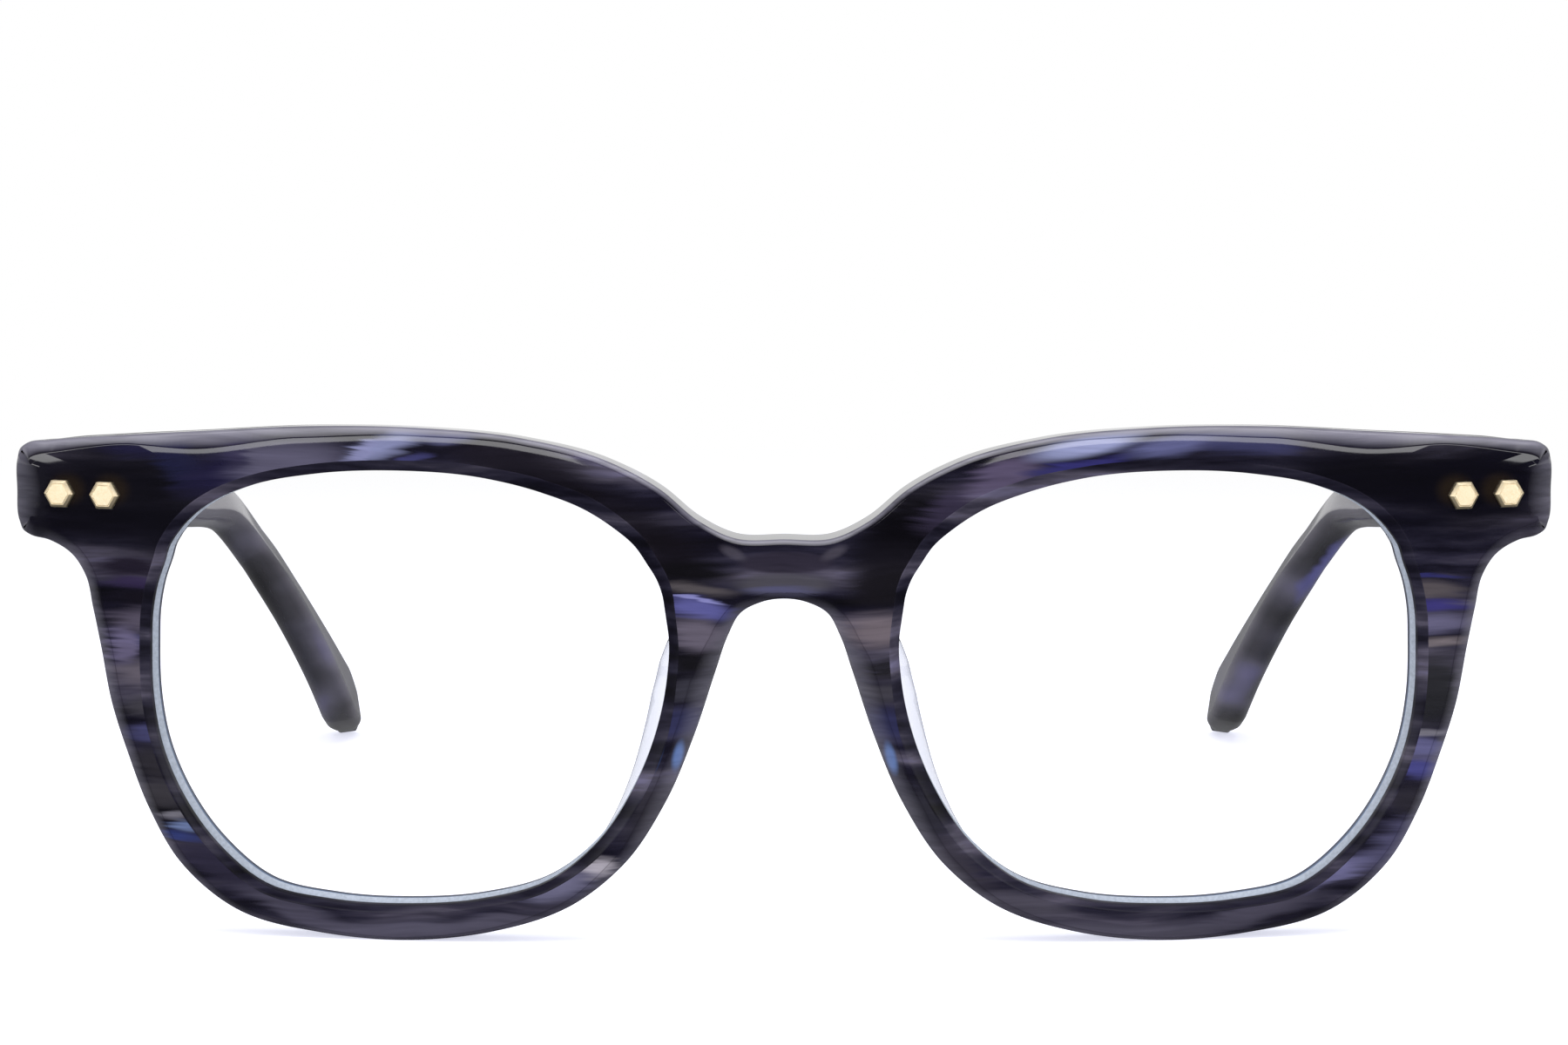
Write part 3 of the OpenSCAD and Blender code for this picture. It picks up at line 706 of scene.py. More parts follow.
@dataclass(frozen=True)
class Spoke:
    """A cut across the rim, from the lens edge to the outline."""

    lens: np.ndarray
    into_rim: np.ndarray
    rim: np.ndarray
    rim_inward: np.ndarray
    sizes: np.ndarray
    seam: bool
    inner: bool


@dataclass
class FrontShape:
    """The shape of the front, in mm, by the same values and curves as its solid."""

    lens_w: float = 48.7
    lens_h: float = 41.2
    groove_d: float = 0.85
    bridge_gap: float = 21.3
    bridge_h: float = 5.55
    bridge_rise: float = 9.1
    front_t: float = 4.2
    bridge_extra: float = 1.8
    end_extra: float = 0.9
    brow_h: float = 4.0
    side_w: float = 4.8
    under_w: float = 3.4
    nose_w: float = 3.4
    end_reach: float = 13.0
    end_h: float = 9.2
    bevel_w: float = 1.0
    end_bevel: float = 3.0
    nose_bevel: float = 2.0
    lens_bevel: float = 0.9
    base_radius: float = 265.0
    front_lean: float = 3.5
    groove_mid: float = 2.0
    groove_mouth: float = 0.8
    groove_floor: float = 0.3
    bevel_d: float = 0.65
    rear_chamfer: float = 0.4
    rear_lip: float = 0.1
    # How many times finer than the solid the mesh is along the rim.
    fine: int = 5
    stations: list[Station] = field(init=False)
    spokes: list[Spoke] = field(init=False)
    shift: np.ndarray = field(init=False)

    def __post_init__(self) -> None:
        """Work out the places that the sizes give."""
        self.half = np.array([self.lens_w / 2, self.lens_h / 2])
        self.mid = np.array([self.bridge_gap / 2 + self.lens_w / 2, self.under_w + self.lens_h / 2])
        self.outer = self.bridge_gap / 2 + self.lens_w
        self.bridge_low = self.mid[1] + self.bridge_rise
        self.bridge_top = self.bridge_low + self.bridge_h
        self.end_x = self.outer + self.end_reach
        self.end_top = self.under_w + self.lens_h + 1.7
        self.end_low = self.end_top - self.end_h
        self.end_mid = (self.end_top + self.end_low) / 2
        self.sphere_mid = np.array([0.0, self.base_radius, self.mid[1]])
        self.stations = self.make_stations()
        self.count = len(self.stations)
        # The station under the middle of the bridge. Those after it lie inside the bridge.
        self.under = self.count - 3
        # The solid's own lowest corner says how far the row frame is shifted.
        coarse = [self.leaned(self.curved(c[:2], c[2])) for s in self.make_spokes(fine=1) for c in self.corners(s)]
        low = np.array(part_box("front_frame")[0]) / MM
        self.shift = np.array([0.0, *(low - np.min(coarse, axis=0))[1:]])
        self.spokes = self.make_spokes(self.fine)

    def edge(self, sx: float, sy: float) -> np.ndarray:
        """Return a point of the lens edge, as shares of half the lens size from its middle."""
        return self.mid + np.array([sx, sy]) * self.half

    def make_stations(self) -> list[Station]:
        """Set out the stations round a lens opening.

        Returns:
            The stations, clockwise from the middle of the bridge's top.
        """
        edge, extra, end_extra = self.edge, self.bridge_extra, self.end_extra
        bw, eb, nb = self.bevel_w, self.end_bevel, self.nose_bevel
        end_x, end_top, end_low, outer = self.end_x, self.end_top, self.end_low, self.outer

        def off(sx: float, sy: float, width: float, dx: float, dy: float) -> tuple[np.ndarray, np.ndarray]:
            """Return a lens edge point and the outline point across the rim from it."""
            return edge(sx, sy), edge(sx, sy) + width * np.array([dx, dy])

        def nose(sx: float, sy: float, share: float, up: float) -> tuple[np.ndarray, np.ndarray]:
            """Return a lens edge point and an outline point over the nose."""
            return edge(sx, sy), np.array([share * self.bridge_gap / 2, up])

        def at(sx: float, sy: float, x: float, y: float) -> tuple[np.ndarray, np.ndarray]:
            """Return a lens edge point and a given outline point."""
            return edge(sx, sy), np.array([x, y])

        brow, side, under, nasal = self.brow_h, self.side_w, self.under_w, self.nose_w
        low, top, span = self.bridge_low, self.bridge_top, self.bridge_h
        # Lens edge and outline, the solid's spokes to the next station, facet width, edge depth,
        # extra thickness and the lens bevel's share.
        rows = [
            (nose(-0.92, 0.59, 0, top), 2, 0.5, 0.45, extra, 1.2),
            (nose(-0.87, 0.675, 0.43, top + 0.1), 2, 0.5, 0.45, extra, 1.3),
            (off(-0.79, 0.755, brow, -1.98, 0.19), 2, 0.5, 0.45, extra * 0.85, 1.4),
            (off(-0.69, 0.83, brow, -1.7, 0.53), 3, 0.5, 0.45, extra * 0.6, 1.45),
            (off(-0.51, 0.913, brow, -1.56, 0.75), 4, 0.5, 0.45, extra * 0.3, 1.35),
            (off(-0.28, 0.976, brow, -1.0, 0.92), 3, 0.55, 0.5, 0, 1.15),
            (off(0.03, 1, brow, -0.4, 1), 3, 0.7, 0.6, 0, 1),
            (off(0.36, 0.976, brow, 0.25, 1.1), 3, bw, 0.8, 0, 0.95),
            (at(0.6, 0.917, outer - 5.1, end_top + 1.5), 3, bw * 1.6, 0.95, 0.2, 0.9),
            (at(0.735, 0.85, outer + 3, end_top + 0.85), 3, bw * 0.8, 0.75, 0.5, 0.9),
            (at(0.8, 0.8, end_x - 3.3, end_top + 0.15), 2, bw * 1.15, 0.9, end_extra, 0.9),
            (at(0.83, 0.77, end_x - 1.15, end_top - 0.2), 1, eb * 0.5, 0.95, end_extra, 0.9),
            (at(0.845, 0.752, end_x - 0.4, end_top - 0.75), 1, eb * 0.7, 1.0, end_extra, 0.9),
            (at(0.86, 0.734, end_x - 0.1, end_top - 1.7), 2, eb * 0.9, 1.05, end_extra, 0.9),
            (at(0.875, 0.714, end_x, self.end_mid), 2, eb, 1.1, end_extra, 0.9),
            (at(0.89, 0.69, end_x - 0.25, end_low + 1.5), 1, eb * 0.85, 1.05, end_extra, 0.9),
            (at(0.9, 0.675, end_x - 0.6, end_low + 0.75), 1, eb * 0.65, 1.0, end_extra, 0.85),
            (at(0.91, 0.656, end_x - 1.35, end_low + 0.3), 2, bw * 1.5, 0.95, end_extra, 0.85),
            (at(0.923, 0.63, end_x - 3.2, end_low - 0.1), 2, bw * 1.3, 0.9, end_extra, 0.85),
            (off(0.942, 0.56, side, 1.86, 0.03), 2, bw * 1.3, 0.9, 0.5, 0.85),
            (off(0.972, 0.457, side, 1.46, 0.1), 2, bw * 1.35, 0.85, 0.2, 0.8),
            (off(0.993, 0.33, side, 1.21, 0), 3, bw * 1.4, 0.85, 0, 0.8),
            (off(1, 0.17, side, 1.03, -0.06), 4, bw * 1.45, 0.85, 0, 0.8),
            (off(0.996, -0.08, side, 0.85, -0.12), 3, bw * 1.45, 0.85, 0, 0.75),
            (off(0.965, -0.295, side, 0.7, -0.21), 3, bw * 1.4, 0.85, 0, 0.6),
            (off(0.888, -0.522, side, 0.69, -0.32), 3, bw * 1.3, 0.85, 0, 0.6),
            (off(0.749, -0.755, under, 1.11, -0.54), 3, bw * 1.15, 0.8, 0, 0.6),
            (off(0.57, -0.925, under, 0.8, -0.79), 3, bw * 0.9, 0.7, 0, 0.6),
            (off(0.31, -0.99, under, 0.27, -0.94), 3, bw * 0.55, 0.5, 0, 0.6),
            (off(0.02, -1, under, 0.15, -1), 3, bw * 0.4, 0.4, 0, 0.55),
            (off(-0.265, -0.968, under, -0.3, -0.9), 3, bw * 0.5, 0.45, 0, 0.5),
            (off(-0.535, -0.87, under, -0.55, -0.75), 3, bw * 0.8, 0.7, 0, 0.7),
            (off(-0.722, -0.687, nasal, -0.72, -0.65), 3, nb * 0.6, 0.95, 0, 0.95),
            (off(-0.86, -0.437, nasal, -0.9, -0.38), 3, nb * 0.8, 1.3, 0, 1.15),
            (off(-0.944, -0.19, nasal, -1.08, 0), 3, nb * 0.9, 1.6, 0, 1.2),
            (off(-0.993, 0.09, nasal, -1.32, 0.1), 3, nb, 1.7, 0, 0.95),
            (nose(-1, 0.25, 0.485, low - 3.5), 2, nb * 0.75, 1.3, extra * 0.2, 0.9),
            (nose(-0.99, 0.345, 0.38, low - 1.45), 2, nb * 0.6, 1.0, extra * 0.5, 0.95),
            (nose(-0.983, 0.4, 0.2, low - 0.35), 2, nb * 0.4, 0.7, extra * 0.85, 1),
            (nose(-0.977, 0.445, 0, low), 1, nb * 0.3, 0.6, extra, 1.05),
            (nose(-0.966, 0.49, 0, low + span / 3), 1, 0, 0, extra, 1.1),
            (nose(-0.947, 0.54, 0, low + span * 2 / 3), 1, 0, 0, extra, 1.15),
        ]
        return [Station(places[0], places[1], *rest) for places, *rest in rows]

    def lens_knot(self, i: int) -> np.ndarray:
        """Return the lens edge of a station, counted round."""
        return self.stations[i % self.count].lens

    def rim_knot(self, i: int) -> np.ndarray:
        """Return the outline of a station, mirrored past the middle of the bridge.

        Args:
            i: The station's number, which may lie one or two past either end.

        Returns:
            The point of the outline.
        """
        mirror = np.array([-1.0, 1.0])
        if i < 0:
            return self.stations[1].rim * mirror
        if i > self.under:
            return self.stations[self.under - 1].rim * mirror
        return self.stations[i].rim

    def make_spokes(self, fine: int) -> list[Spoke]:
        """Return the spokes of one half, some times finer than the solid's.

        Args:
            fine: How many spokes stand for each of the solid's.

        Returns:
            The spokes, in order round the lens.
        """
        made = []
        for i, a in enumerate(self.stations):
            b = self.stations[(i + 1) % self.count]
            before, after = slope(self.lens_knot(i - 1), a.lens, b.lens), slope(a.lens, b.lens, self.lens_knot(i + 2))
            lens_span = Span(a.lens, b.lens, before, after)
            bridge = i >= self.under
            if not bridge:
                before, after = slope(self.rim_knot(i - 1), a.rim, self.rim_knot(i + 1)), self.rim_knot(i + 2)
                rim_span = Span(a.rim, b.rim, before, slope(a.rim, b.rim, after))
            for step in range(a.steps * fine):
                f = step / (a.steps * fine)
                lens_dir = lens_span.heading(f)
                if bridge:
                    rim_dir = np.array([-1.0, 0.0]) if i == self.under else np.array([1.0, 0.0])
                    rim = mix(a.rim, b.rim, f)
                else:
                    rim_dir, rim = rim_span.heading(f), rim_span.point(f)
                spoke = Spoke(
                    lens=lens_span.point(f),
                    into_rim=np.array([-lens_dir[1], lens_dir[0]]),
                    rim=rim,
                    rim_inward=np.array([rim_dir[1], -rim_dir[0]]),
                    sizes=mix(a.sizes(), b.sizes(), f * f * (3 - 2 * f)),
                    seam=bridge or (i == 0 and f == 0),
                    inner=i > self.under or (bridge and f > 0),
                )
                made.append(spoke)
        return made

    def corners(self, s: Spoke) -> list[np.ndarray]:
        """Return the corners of the section on a spoke.

        Args:
            s: The spoke.

        Returns:
            Outline X and Y and depth behind the face of each corner, in order round the section.
        """
        facet, depth, extra, bevel = s.sizes
        thick = self.front_t + extra

        def lens(out: float, deep: float) -> np.ndarray:
            """Return a corner off the lens edge."""
            return np.append(s.lens + s.into_rim * out, deep)

        def rim(inward: float, deep: float) -> np.ndarray:
            """Return a corner off the outline."""
            return np.append(s.rim + s.rim_inward * (0 if s.inner else inward), deep)

        # The outline's bevel is broken in two, as the polishing wheel leaves it.
        return [
            lens(self.rear_chamfer + self.rear_lip, self.front_t),
            lens(self.rear_lip, self.front_t - self.rear_chamfer),
            lens(self.rear_lip, self.groove_mid + self.groove_mouth),
            lens(self.groove_d, self.groove_mid + self.groove_floor),
            lens(self.groove_d, self.groove_mid - self.groove_floor),
            lens(0, self.groove_mid - self.groove_mouth),
            lens(0, self.bevel_d * bevel),
            lens(self.lens_bevel * bevel, 0),
            rim(facet, 0),
            rim(facet * 0.12, depth * 0.82),
            rim(0, depth * 1.2),
            rim(0, thick - self.rear_chamfer),
            rim(self.rear_chamfer, thick),
        ]

    def curved(self, p: np.ndarray, t: float) -> np.ndarray:
        """Wrap a point of the flat outline on the sphere.

        Args:
            p: The point.
            t: Its depth behind the face, square to the sphere.

        Returns:
            The place in mm, before the front leans.
        """
        up, k = p[1] - self.mid[1], (self.base_radius - t) / self.base_radius
        out = math.sqrt(self.base_radius**2 - p[0] ** 2 - up**2)
        return self.sphere_mid + np.array([p[0], -out, up]) * k

    def leaned(self, p: np.ndarray) -> np.ndarray:
        """Lean a point with the front."""
        c, s = math.cos(math.radians(self.front_lean)), math.sin(math.radians(self.front_lean))
        return np.array([p[0], p[1] * c - p[2] * s, p[1] * s + p[2] * c])

    def placed(self, p: np.ndarray, t: float) -> np.ndarray:
        """Return the place in the row frame of a flat point at a depth, in mm."""
        return self.leaned(self.curved(p, t)) + self.shift

    def face_matrix(self, p: tuple[float, float]) -> Matrix:
        """Return the placement of something on the face, with its Z pointing out of it.

        Args:
            p: The point of the flat outline.

        Returns:
            The placement in metres.
        """
        up = p[1] - self.mid[1]
        turn = math.atan2(p[0], math.sqrt(self.base_radius**2 - p[0] ** 2 - up**2))
        lean = Matrix.Rotation(math.radians(self.front_lean), 4, "X")
        return (
            Matrix.Translation(Vector(self.shift) * MM)
            @ lean
            @ Matrix.Translation(Vector(self.sphere_mid) * MM)
            @ Matrix.Rotation(turn, 4, "Z")
            @ Matrix.Rotation(-math.asin(up / self.base_radius), 4, "X")
            @ Matrix.Translation((0, -self.base_radius * MM, 0))
            @ Matrix.Rotation(math.radians(90), 4, "X")
        )


# Radius to which the tumbling barrel rounds each corner of the section, in mm.
# They go with FrontShape.corners, from the rear lens edge round to the rear outline.
TUMBLED = (0.15, 0.1, 0.06, 0.06, 0.06, 0.06, 0.1, 0.1, 0.09, 0.14, 0.16, 0.25, 0.22)
LENS_FACE, RIM_FACE, RIM_REAR = 7, 8, 12
# Each corner is rounded to this many points.
ARC = 3
# The first points of a section, up to the rear of the groove, are the wall that shows behind the lens.
WALL_END = 9
# The first of those are the rear edge of the opening.
LIP_END = 6
# The points of the bevel round the front of an opening, from its wall to the face.
BEVEL = range(15, 24)
# Counted from the end of the face: the middle of the crease, where a dark line of shade is painted, and the bevel of
# the outline behind it, which is painted lighter as a highlight.
CREASE, FACET = 1, range(3, 8)


@dataclass
class FrontFrame:
    """The milled acetate front: one smooth, bevelled mesh with its seats, pockets and stud holes."""

    shape: FrontShape
    # The finish of each half, alike but for the clouds that lie in it.
    left: Finish
    right: Finish
    # The finish of the milled wall of each opening.
    milled: Finish
    face_strips: int = 4
    # No corner is rounded over more than this share of a flat beside it.
    most_round: float = 0.42
    stud_flats: float = 2.5
    stud_gap: float = 0.06
    stud_sink: float = 0.25
    # How far the studs stand from the end piece's end, from each other and below its middle.
    stud_in: float = 4.7
    stud_apart: float = 4.35
    stud_down: float = 0.15
    # The plate of a hinge's leaf, the play round it, and how far its cutter reaches past it.
    leaf_plate: float = 0.9
    leaf_play: float = 0.04
    cut_past: float = 4.0
    # How far the flat seat of a temple reaches inwards past the leaf and down past the end piece.
    seat_past: float = 0.6
    seat_under: float = 0.3
    # The painted glow of the wall, which stands for light from behind, is strongest this many degrees below the outer
    # end of the opening, and fades round from there.
    glow_turn: float = 55.0
    glow_fade: float = 0.7
    # How strongly a bevel that faces sideways is painted lighter as a painted highlight, where one that faces up gets
    # 1.
    side_glow: float = 0.35

    def rounded(self, s: Spoke) -> list[np.ndarray]:
        """Return the section with each corner rounded, and points along its flats.

        Args:
            s: The spoke.

        Returns:
            Outline X and Y and depth of each point, in order round the section.
        """
        corners = self.shape.corners(s)
        lens_in = np.append(s.into_rim, 0)
        rim_in = np.append(s.rim_inward, 0)
        arcs = []
        for j, corner in enumerate(corners):
            before, after = corners[j - 1], corners[(j + 1) % len(corners)]
            if j == 0:
                before = corner + lens_in
            elif j == LENS_FACE:
                after = corner + lens_in
            elif j == RIM_FACE:
                before = corner + rim_in
            elif j == RIM_REAR:
                after = corner + rim_in
            radius = 0.0 if s.inner and j >= RIM_FACE else TUMBLED[j]
            arcs.append(self.arc(before, corner, after, radius))
        shares = [k / self.face_strips for k in range(1, self.face_strips)]
        face = [mix(arcs[LENS_FACE][-1], arcs[RIM_FACE][0], f) for f in shares]
        rear = [mix(arcs[RIM_REAR][-1], arcs[0][0], f) for f in shares]
        return [*sum(arcs[:RIM_FACE], []), *face, *sum(arcs[RIM_FACE:], []), *rear]

    def arc(self, before: np.ndarray, corner: np.ndarray, after: np.ndarray, radius: float) -> list[np.ndarray]:
        """Round one corner by three points.

        Args:
            before: A point on the flat before the corner.
            corner: The corner.
            after: A point on the flat after it.
            radius: How far from the corner the rounding starts.

        Returns:
            The points.
        """
        ends = []
        for way in (before - corner, after - corner):
            ends.append(corner + way / max(norm(way), 1e-9) * min(radius, norm(way) * self.most_round))
        return [ends[0], (ends[0] + ends[1]) * 0.25 + corner * 0.5, ends[1]]

    def build(self) -> Piece:
        """Make the front from its sections, cut its holes and dress it.

        Returns:
            The finished front.
        """
        shape = self.shape
        sections = [self.rounded(s) for s in self.bridged()]
        count, per = len(sections), len(sections[0])
        first_open = RIM_FACE * ARC + self.face_strips - 1
        last_open = first_open + (RIM_REAR - RIM_FACE + 1) * ARC - 1
        half = np.array([shape.placed(p[:2], p[2]) for section in sections for p in section])
        self.seat(half)
        half = np.clip(half, *in_mm(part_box("front_frame")))
        faces = []
        for i in range(count):
            ahead = (i + 1) % count
            seam = shape.spokes[i].seam and shape.spokes[ahead].seam
            for j in range(per):
                # In the middle of the bridge the halves meet, so nothing closes the outline there.
                if not (seam and first_open <= j < last_open):
                    k = (j + 1) % per
                    faces.append((i * per + j, ahead * per + j, ahead * per + k, i * per + k))
        turned = [tuple(v + len(half) for v in reversed(f)) for f in faces]
        points = np.concatenate([half, half * np.array([-1.0, 1.0, 1.0])])
        marks = {name: np.tile(mark, 2) for name, mark in self.marks(per, first_open).items()}
        piece = new_mesh("front_acetate", points, faces + turned, marks)
        carve(piece, self.cutter())
        smooth(piece, angle=28)
        # Materials 0 and 1 are the right and left half, and 2 is the milled cuts.
        self.right.dress(piece, self.left, self.milled)
        cut = [piece.data.attributes[name].data for name in ("wall", "bevel")]
        for face in piece.data.polygons:
            on_cut = any(all(mark[v].value > 0.5 for v in face.vertices) for mark in cut)
            face.material_index = 2 if on_cut else int(face.center.x > 0)
        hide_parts("front_frame")
        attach(piece, Body.FRONT.value)
        return piece

    def marks(self, per: int, first_open: int) -> dict[str, np.ndarray]:
        """Weigh the points of one half for the finishes.

        Args:
            per: How many points a section has.
            first_open: The number of the first point after the face.

        Returns:
            The weights of all points, section by section, by the mark's name.
        """
        spokes = self.shape.spokes
        places = {
            "wall": range(WALL_END),
            # Painted shade: the rear edge of the opening is painted dark.
            "lip": range(LIP_END),
            # Painted highlight: the outline's bevel is painted lighter where it faces the overhead light.
            "crown": [first_open + j for j in FACET],
            # Painted shade: a dark line painted along the crease between the face and the outline's bevel.
            "crease": [first_open + CREASE],
            "bevel": BEVEL,
        }
        made = {name: np.tile([float(j in on) for j in range(per)], len(spokes)) for name, on in places.items()}
        # Painted glow: the wall, less its rear edge, is painted pale blue as if light from behind shone through it.
        made["lit"] = (made["wall"] - made["lip"]) * np.repeat([self.lit(s) for s in spokes], per)
        made["crown"] = made["crown"] * np.repeat([self.crown(s) for s in spokes], per)
        return made

    def lit(self, s: Spoke) -> float:
        """Return how strongly the wall of the opening is painted with a pale glow at a spoke, a painted stand-in for
        light from behind shining through it.
        """
        turn = math.atan2(*(s.lens - self.shape.mid)[::-1])
        return max(0.0, math.cos(turn + math.radians(self.glow_turn))) ** self.glow_fade

    def crown(self, s: Spoke) -> float:
        """Return how strongly the outline's bevel is painted lighter at a spoke, a painted highlight of the overhead
        light.
        """
        up, side = max(0.0, -float(s.rim_inward[1])) ** 2, self.side_glow * abs(float(s.rim_inward[0]))
        return 0.0 if s.inner else max(up, side)

    def bridged(self) -> list[Spoke]:
        """Spread the spokes on the bridge's middle between its two facets.

        Returns:
            The spokes of one half, in order.
        """
        made = [s for s in self.shape.spokes if not s.inner]
        inner = [s for s in self.shape.spokes if s.inner]
        top, under = [s for s in made if s.seam]
        low = under.rim[1] + under.sizes[0] + TUMBLED[RIM_FACE]
        high = top.rim[1] - top.sizes[0] - TUMBLED[RIM_FACE]
        for k, s in enumerate(inner, 1):
            made.append(replace(s, rim=np.array([0.0, mix(low, high, k / (len(inner) + 1))])))
        return made

    def seat(self, points: np.ndarray) -> None:
        """Press the rear of the end pieces flat, where the temples butt against them.

        Args:
            points: The points of one half in the row frame, in mm, changed in place.
        """
        seat_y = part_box("hinge_front_leaf_left")[0][1] / MM + self.leaf_plate
        inner_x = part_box("hinge_front_leaf_left")[0][0] / MM - self.seat_past
        seat_low = self.shape.end_low + self.shape.shift[2] - self.seat_under
        flat = (points[:, 0] > inner_x) & (points[:, 2] > seat_low) & (points[:, 1] > seat_y)
        points[flat, 1] = seat_y

    def cutter(self) -> Piece:
        """Make the cutters of the stud holes and of the hinge plates' pockets.

        Returns:
            All of them, as one closed mesh.
        """
        work = bmesh.new()
        radius = (self.stud_flats / 2 + self.stud_gap) / math.cos(math.radians(30)) * MM
        deep = Matrix.Translation((0, 0, (1.0 - self.stud_sink) * MM))
        flats_level = Matrix.Rotation(math.radians(30), 4, "Z")
        hole = {"cap_ends": True, "segments": 6, "radius1": radius, "radius2": radius, "depth": 2 * MM}
        for side in Side:
            for word in ("outer", "inner"):
                place = self.stud_place(side, word) @ deep @ flats_level
                bmesh.ops.create_cone(work, matrix=place, **hole)
            low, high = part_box(f"hinge_front_leaf_{side.word}")
            centre, size = (low + high) / 2, high - low
            reach = self.leaf_plate * MM + self.cut_past * MM
            size.y, centre.y = reach, low.y + reach / 2
            size.x += self.leaf_play * MM
            size.z += self.leaf_play * MM
            block(work, centre, size)
        bmesh.ops.recalc_face_normals(work, faces=work.faces)
        return stand("cutter", work)

    def stud_place(self, side: Side, word: str) -> Matrix:
        """Return the placement of a stud's seat on the face of a side."""
        across = self.shape.end_x - self.stud_in - (0 if word == "outer" else self.stud_apart)
        return self.shape.face_matrix((side.value * across, self.shape.end_mid - self.stud_down))


@dataclass
class Lenses:
    """The two demo lenses, each a shell between two spheres with its tongue in the groove."""

    shape: FrontShape
    finish: Finish
    # The finish of the V that is ground on the edge.
    ground: Finish
    thickness: float = 1.6
    rings: int = 14
    # How far the V of the edge reaches into the groove, and half its thickness there.
    tongue: float = 0.7
    tongue_half: float = 0.1
    # How far the rest of the edge stands clear of the opening.
    clear: float = 0.01

    def build(self, side: Side) -> Piece:
        """Return the lens of one side.

        Args:
            side: The side to make.

        Returns:
            The finished lens.
        """
        shape = self.shape
        spokes = shape.make_spokes(fine=2)
        mid, half = shape.groove_mid, self.thickness / 2
        profile = [(k / self.rings, -self.clear, mid - half) for k in range(self.rings + 1)]
        profile += [(1.0, self.tongue, mid - self.tongue_half), (1.0, self.tongue, mid + self.tongue_half)]
        profile += [(k / self.rings, -self.clear, mid + half) for k in range(self.rings, -1, -1)]
        points = []
        for share, out, depth in profile:
            for s in spokes:
                rim = s.lens + s.into_rim * out
                # The middle is kept just open, and closes when doubles merge.
                points.append(shape.placed(mix(shape.mid, rim, max(share, 1e-6)), depth))
        cloud = np.array(points) * np.array([side.value, 1, 1])
        edge = np.array([float(out > 0) for _, out, _ in profile for _ in spokes])
        piece = new_mesh(f"lens_clear_{side.word}", cloud, skin(len(profile), len(spokes)), {"edge": edge})
        smooth(piece, angle=40)
        self.finish.dress(piece, self.ground)
        on_edge = piece.data.attributes["edge"].data
        for face in piece.data.polygons:
            face.material_index = int(any(on_edge[v].value > 0.5 for v in face.vertices))
        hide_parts(f"lens_{side.word}")
        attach(piece, Body.FRONT.value)
        return piece


@dataclass
class NosePads:
    """The two glued pads, swept along the nose side of the rim."""

    shape: FrontShape
    finish: Finish
    height: float = 5.0
    overhang: float = 1.5
    glue: float = 0.05
    # The ends of the pad, as shares of half the lens height under and over its middle.
    under: float = 0.76
    over: float = 0.33
    # How far past the first and last ring the pad's shape closes, in rings of the solid.
    past: float = 0.35

    def build(self, side: Side) -> Piece:
        """Return the pad of one side.

        Args:
            side: The side to make.

        Returns:
            The finished pad.
        """
        shape = self.shape
        span, coarse = self.span(shape.spokes), len(self.span(shape.make_spokes(fine=1)))
        rings = []
        for k, s in enumerate(span):
            f = (k / (len(span) - 1) * (coarse - 1) + self.past) / (coarse - 1 + 2 * self.past)
            rings.append(self.ring(s, f))
        points = np.array([shape.placed(p[:2], p[2]) for ring in rings for p in ring])
        points = np.clip(points, *in_mm(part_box("nose_pad_left"))) * np.array([side.value, 1, 1])
        piece = new_mesh(f"pad_crystal_{side.word}", points, skin(len(rings), len(rings[0]), capped=True))
        smooth(piece, angle=50)
        self.finish.dress(piece)
        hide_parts(f"nose_pad_{side.word}")
        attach(piece, Body.FRONT.value)
        return piece

    def span(self, spokes: list[Spoke]) -> list[Spoke]:
        """Return those of the spokes that carry the pad."""
        mid, half = self.shape.mid, self.shape.half[1]
        low, top = mid[1] - half * self.under, mid[1] + half * self.over
        return [s for s in spokes if s.lens[0] < mid[0] and low < s.lens[1] < top]

    def rear(self, s: Spoke, across: float) -> float:
        """Return the depth of the rear face behind the front one.

        Args:
            s: The spoke.
            across: How far across the rim the place is from its outline.

        Returns:
            The depth.
        """
        chamfer = self.shape.rear_chamfer
        f = (across - chamfer) / (norm(s.lens - s.rim) - 2 * chamfer - self.shape.rear_lip)
        return self.shape.front_t + s.sizes[2] * min(1.0, max(0.0, 1 - f))

    def ring(self, s: Spoke, f: float) -> list[np.ndarray]:
        """Return one ring of the pad, its corners rounded by a smooth closed curve.

        Args:
            s: The spoke it stands on.
            f: Its share of the pad's length.

        Returns:
            Outline X and Y and depth of each point.
        """
        swell = math.sin(math.pi * f) ** 0.6
        reach = math.sin(math.pi * f) ** 0.9 * min(1.0, 0.2 + 1.4 * f)
        w = norm(s.lens - s.rim)
        direction = (s.lens - s.rim) / w
        h, crest = self.height * swell, w * (0.55 + 0.45 * math.sqrt(swell)) + self.overhang * reach
        # Round the ring: how far across the rim from the outline, and how far behind the rear face.
        places = [
            (w * 0.16, 0.0),
            (w * 0.84, 0.0),
            (mix(w * 0.84, crest, 0.6), h * 0.3),
            (crest, h * 0.66),
            (crest - 0.25 * swell, h * 0.93),
            (crest * 0.8, h),
            (crest * 0.5, h * 0.83),
            (w * 0.16 + 0.1, h * 0.35),
        ]
        flat = [np.array([a, self.rear(s, a) + self.glue + up]) for a, up in places]
        points, last = flat[:2], len(flat) - 1
        # The glued side is straight, and the curve leaves it and meets it along the chords beside it.
        for i in range(1, len(flat)):
            here, after = flat[i], flat[(i + 1) % len(flat)]
            chord = (after - here) / norm(after - here)
            leave = chord if i == 1 else slope(flat[i - 1], here, after)
            meet = chord if i == last else slope(here, after, flat[(i + 2) % len(flat)])
            span = Span(here, after, leave, meet)
            points += [span.point(k / 3) for k in (1, 2)]
            if i < last:
                points.append(after)
        return [np.append(s.rim + direction * p[0], p[1]) for p in points]


